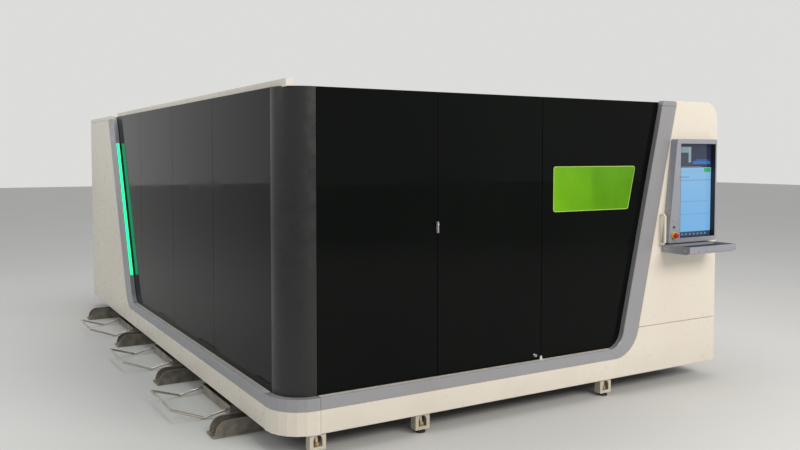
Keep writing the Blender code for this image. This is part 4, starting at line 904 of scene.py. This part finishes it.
def fasteners(name, places, turn, material, body, sizes):
    """Heads at the given places. The tree's result becomes a plain mesh before it rides."""
    mesh = bpy.data.meshes.new(name)
    mesh.from_pydata([CORNER + Vector(place) for place in places], [], [])
    holder = bpy.data.objects.new(name, mesh)
    bpy.context.scene.collection.objects.link(holder)
    modifier = holder.modifiers.new("fasteners", "NODES")
    modifier.node_group = FASTENERS
    values = {"Turn": turn, "Finish": material, **sizes}
    for item in FASTENERS.interface.items_tree:
        if item.item_type == "SOCKET" and item.in_out == "INPUT" and item.name in values:
            modifier[item.identifier] = values[item.name]
    graph = bpy.context.evaluated_depsgraph_get()
    solid = bpy.data.meshes.new_from_object(holder.evaluated_get(graph))
    holder.modifiers.clear()
    holder.data = solid
    bpy.data.meshes.remove(mesh)
    solid.materials.clear()
    solid.materials.append(material)
    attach(holder, body)


# Painted shade: the brackets' cream is darker than the skins' to stand for the shade low under the
# machine; the floor dust is real.
bracket_cream_painted_shade = enamel(
    "bracket_coat_painted_shade", (0.66, 0.61, 0.50), (0.54, 0.48, 0.38), 0.4, grime_top=0.16
)
finish_nodes(
    bracket_cream_painted_shade,
    "front_foot_left",
    "front_foot_middle",
    "front_foot_right",
    "right_foot_front",
    "right_foot_rear",
    "rear_foot_left",
)
zinc = metal("yellow_zinc", (0.50, 0.33, 0.13), 0.42, metallic=0.85)
nut_places = [(x, y, NUT_HEIGHT) for x, y in FOOT_PLACES]
fasteners("levelling_nuts", nut_places, UPRIGHT, zinc, "enclosure", NUT_SIZES)
pads = [turned_mesh("pad", PAD_PROFILE, (x, y, 0)) for x, y in FOOT_PLACES]
finished("levelling_pads", merge("levelling_pads", pads), rubber, "enclosure")

# Bed: heavy welded beams in dark grey paint, oily and dusty near the floor. Its anchor feet
# are held down by bolts with washers.
BOLT_COLUMNS, BOLT_ROWS = (-0.165, 0.015, 2.505), (0.62, 1.93, 3.31, 4.69)
BOLT_SPREAD, BOLT_HEIGHT = 0.030, 0.0185
BOLT_SIZES = {"Head Radius": 0.0110, "Head Height": 0.0090, "Washer Radius": 0.0160}


def shop_steel(name, colour, dirty, roughness, metallic):
    """Bare or thinly painted steel with oil stains and floor dust."""
    made, shader, place = begin_material(name, roughness, metallic)
    links = made.node_tree.links
    stain = ramp(made, noise(made, place, 7, 8), (0.36, dirty), (0.60, colour))
    low = remap(made, along_axis(made, place, "Z"), 0.0, 0.14, 0.7, 0.0)
    patchy = remap(made, noise(made, place, 16, 6), 0.36, 0.66, 0.2, 1.0)
    dust = product(made, low, patchy)
    links.new(blend_colours(made, dust, stain, FLOOR_GRIME), shader.inputs["Base Color"])
    rough = remap(made, noise(made, place, 26, 5), 0.3, 0.7, roughness - 0.1, roughness + 0.15)
    links.new(rough, shader.inputs["Roughness"])
    add_bump(made, shader, noise(made, place, 240, 5), 0.0002)
    return made


bed_paint = shop_steel("bed_paint", (0.135, 0.125, 0.108), (0.065, 0.058, 0.048), 0.55, 0.1)
finish_nodes(bed_paint, "bed_frame")
anchor_steel = shop_steel("anchor_steel", (0.30, 0.27, 0.23), (0.12, 0.09, 0.06), 0.5, 0.7)
bed_bolts = [
    (x, y + side * BOLT_SPREAD, BOLT_HEIGHT)
    for y in BOLT_ROWS
    for x in BOLT_COLUMNS
    for side in (-1, 1)
]
fasteners("bed_anchor_bolts", bed_bolts, UPRIGHT, anchor_steel, "enclosure", BOLT_SIZES)

# Scrap drawers: low trays of bare sheet under the machine, open at the top. Each has a bent
# round-bar handle, polished by use.
tray_steel = shop_steel("tray_sheet", (0.33, 0.31, 0.28), (0.16, 0.135, 0.11), 0.48, 0.6)
finish_nodes(tray_steel, "scrap_drawer_1", "scrap_drawer_2", "scrap_drawer_3")
handle_steel = shop_steel("handle_bar", (0.56, 0.54, 0.50), (0.34, 0.31, 0.27), 0.32, 0.85)
finish_nodes(
    handle_steel, "scrap_drawer_1_handle", "scrap_drawer_2_handle", "scrap_drawer_3_handle"
)

# Cutting bay: slats burnt and rusty at their teeth, ground rails, an aluminium gantry and
# head, and a copper nozzle.
slat_steel = shop_steel("slat_steel", (0.27, 0.20, 0.15), (0.10, 0.055, 0.030), 0.6, 0.5)
finish_nodes(slat_steel, "slat_table")
rail_steel = metal("ground_rail", (0.60, 0.60, 0.60), 0.22, (1, 0.04, 1))
finish_nodes(rail_steel, "y_rail_left", "y_rail_right")
cast = metal("gantry_aluminium", (0.56, 0.57, 0.58), 0.4, (0.06, 1, 1), 0.85)
finish_nodes(cast, "gantry_beam", "x_carriage")
finish_nodes(metal("head_aluminium", (0.66, 0.67, 0.68), 0.3, (1, 1, 3), 0.95), "cutting_head")
finish_nodes(metal("nozzle_copper", (0.66, 0.30, 0.16), 0.28, (1, 1, 4)), "nozzle")

# Laser source, electrical plate and extraction spigot: the first two are sheet in the silver
# coat, and the spigot is bare galvanised sheet.
finish_nodes(silver, "laser_source", "electrical_plate")
finish_nodes(metal("galvanised_duct", (0.50, 0.51, 0.52), 0.42, (1, 0.3, 1), 0.9), "fume_outlet")

# Service doors at the right and rear: two knuckle hinges on one edge and two round black
# latches with a raised middle near the other.
HINGE_HEIGHTS, LATCH_HEIGHTS = (0.62, 1.60), (0.80, 1.45)
HINGE_AXES = {"right": (3.540, 3.300), "rear": (0.550, 5.500)}
LATCH_PLACES = {"right": (3.5402, 4.44), "rear": (1.49, 5.5002)}
OUTWARD = {"right": (1, 0, 0), "rear": (0, 1, 0)}
HINGE_PROFILE = [
    (0, 0),
    (0.006, 0),
    (0.0075, 0.002),
    (0.0075, 0.088),
    (0.006, 0.090),
    (0, 0.090),
]
LATCH_PROFILE = [
    (0, 0),
    (0.022, 0),
    (0.023, 0.002),
    (0.021, 0.005),
    (0.010, 0.005),
    (0.010, 0.008),
    (0, 0.008),
]
for side, axis in HINGE_AXES.items():
    barrels = [turned_mesh("hinge", HINGE_PROFILE, (*axis, z)) for z in HINGE_HEIGHTS]
    finished(f"{side}_door_hinges", merge(f"{side}_hinges", barrels), bright_steel, "enclosure")
for side, place in LATCH_PLACES.items():
    latches = [
        turned_mesh("latch", LATCH_PROFILE, (*place, z), OUTWARD[side]) for z in LATCH_HEIGHTS
    ]
    merged = merge(f"{side}_latches", latches)
    finished(f"{side}_door_latches", merged, dark_plastic, f"{side}_door")

# Panel fixings: button-head screws on washers along the foot and the top of the right and
# rear skins, and a ring of the same through the flange of the extraction spigot.
SCREW_SIZES = {"Head Radius": 0.0055, "Head Height": 0.0030, "Washer Radius": 0.0075, "Sides": 12}
SCREW_PITCH = 0.62
SPIGOT_PLACE, FLANGE_FACE, BOLT_CIRCLE, BOLT_COUNT = (2.75, 1.45), 5.5072, 0.148, 8
side_screws = [(3.5412, 0.25 + SCREW_PITCH * i, z) for i in range(9) for z in (0.165, 1.90)]
fasteners("right_panel_screws", side_screws, FACING_RIGHT, bright_steel, "enclosure", SCREW_SIZES)
rear_screws = [(0.22 + SCREW_PITCH * i, 5.5012, z) for i in range(6) for z in (0.165, 1.97)]
fasteners("rear_panel_screws", rear_screws, FACING_REAR, bright_steel, "enclosure", SCREW_SIZES)
flange_turns = [math.tau * (i + 0.5) / BOLT_COUNT for i in range(BOLT_COUNT)]
flange_bolts = [
    (
        SPIGOT_PLACE[0] + BOLT_CIRCLE * math.cos(turn),
        FLANGE_FACE,
        SPIGOT_PLACE[1] + BOLT_CIRCLE * math.sin(turn),
    )
    for turn in flange_turns
]
fasteners("fume_flange_bolts", flange_bolts, FACING_REAR, bright_steel, "enclosure", SCREW_SIZES)

# Floor: one pale matt plane that takes the machine's shadow. It belongs to the stage and is
# no piece of the machine.
FLOOR_REACH = 40
floor_mesh = bpy.data.meshes.new("floor")
floor_mesh.from_pydata(
    [(x * FLOOR_REACH, y * FLOOR_REACH, 0) for x, y in ((-1, -1), (1, -1), (1, 1), (-1, 1))],
    [],
    [(0, 1, 2, 3)],
)
floor = bpy.data.objects.new("floor", floor_mesh)
bpy.context.scene.collection.objects.link(floor)
floor_paint, floor_shader, floor_place = begin_material("pale_floor", 0.6)
floor_tone = ramp(
    floor_paint,
    noise(floor_paint, floor_place, 0.7, 3),
    (0.3, (0.70, 0.70, 0.69)),
    (0.7, (0.72, 0.72, 0.71)),
)
floor_paint.node_tree.links.new(floor_tone, floor_shader.inputs["Base Color"])
floor_mesh.materials.append(floor_paint)
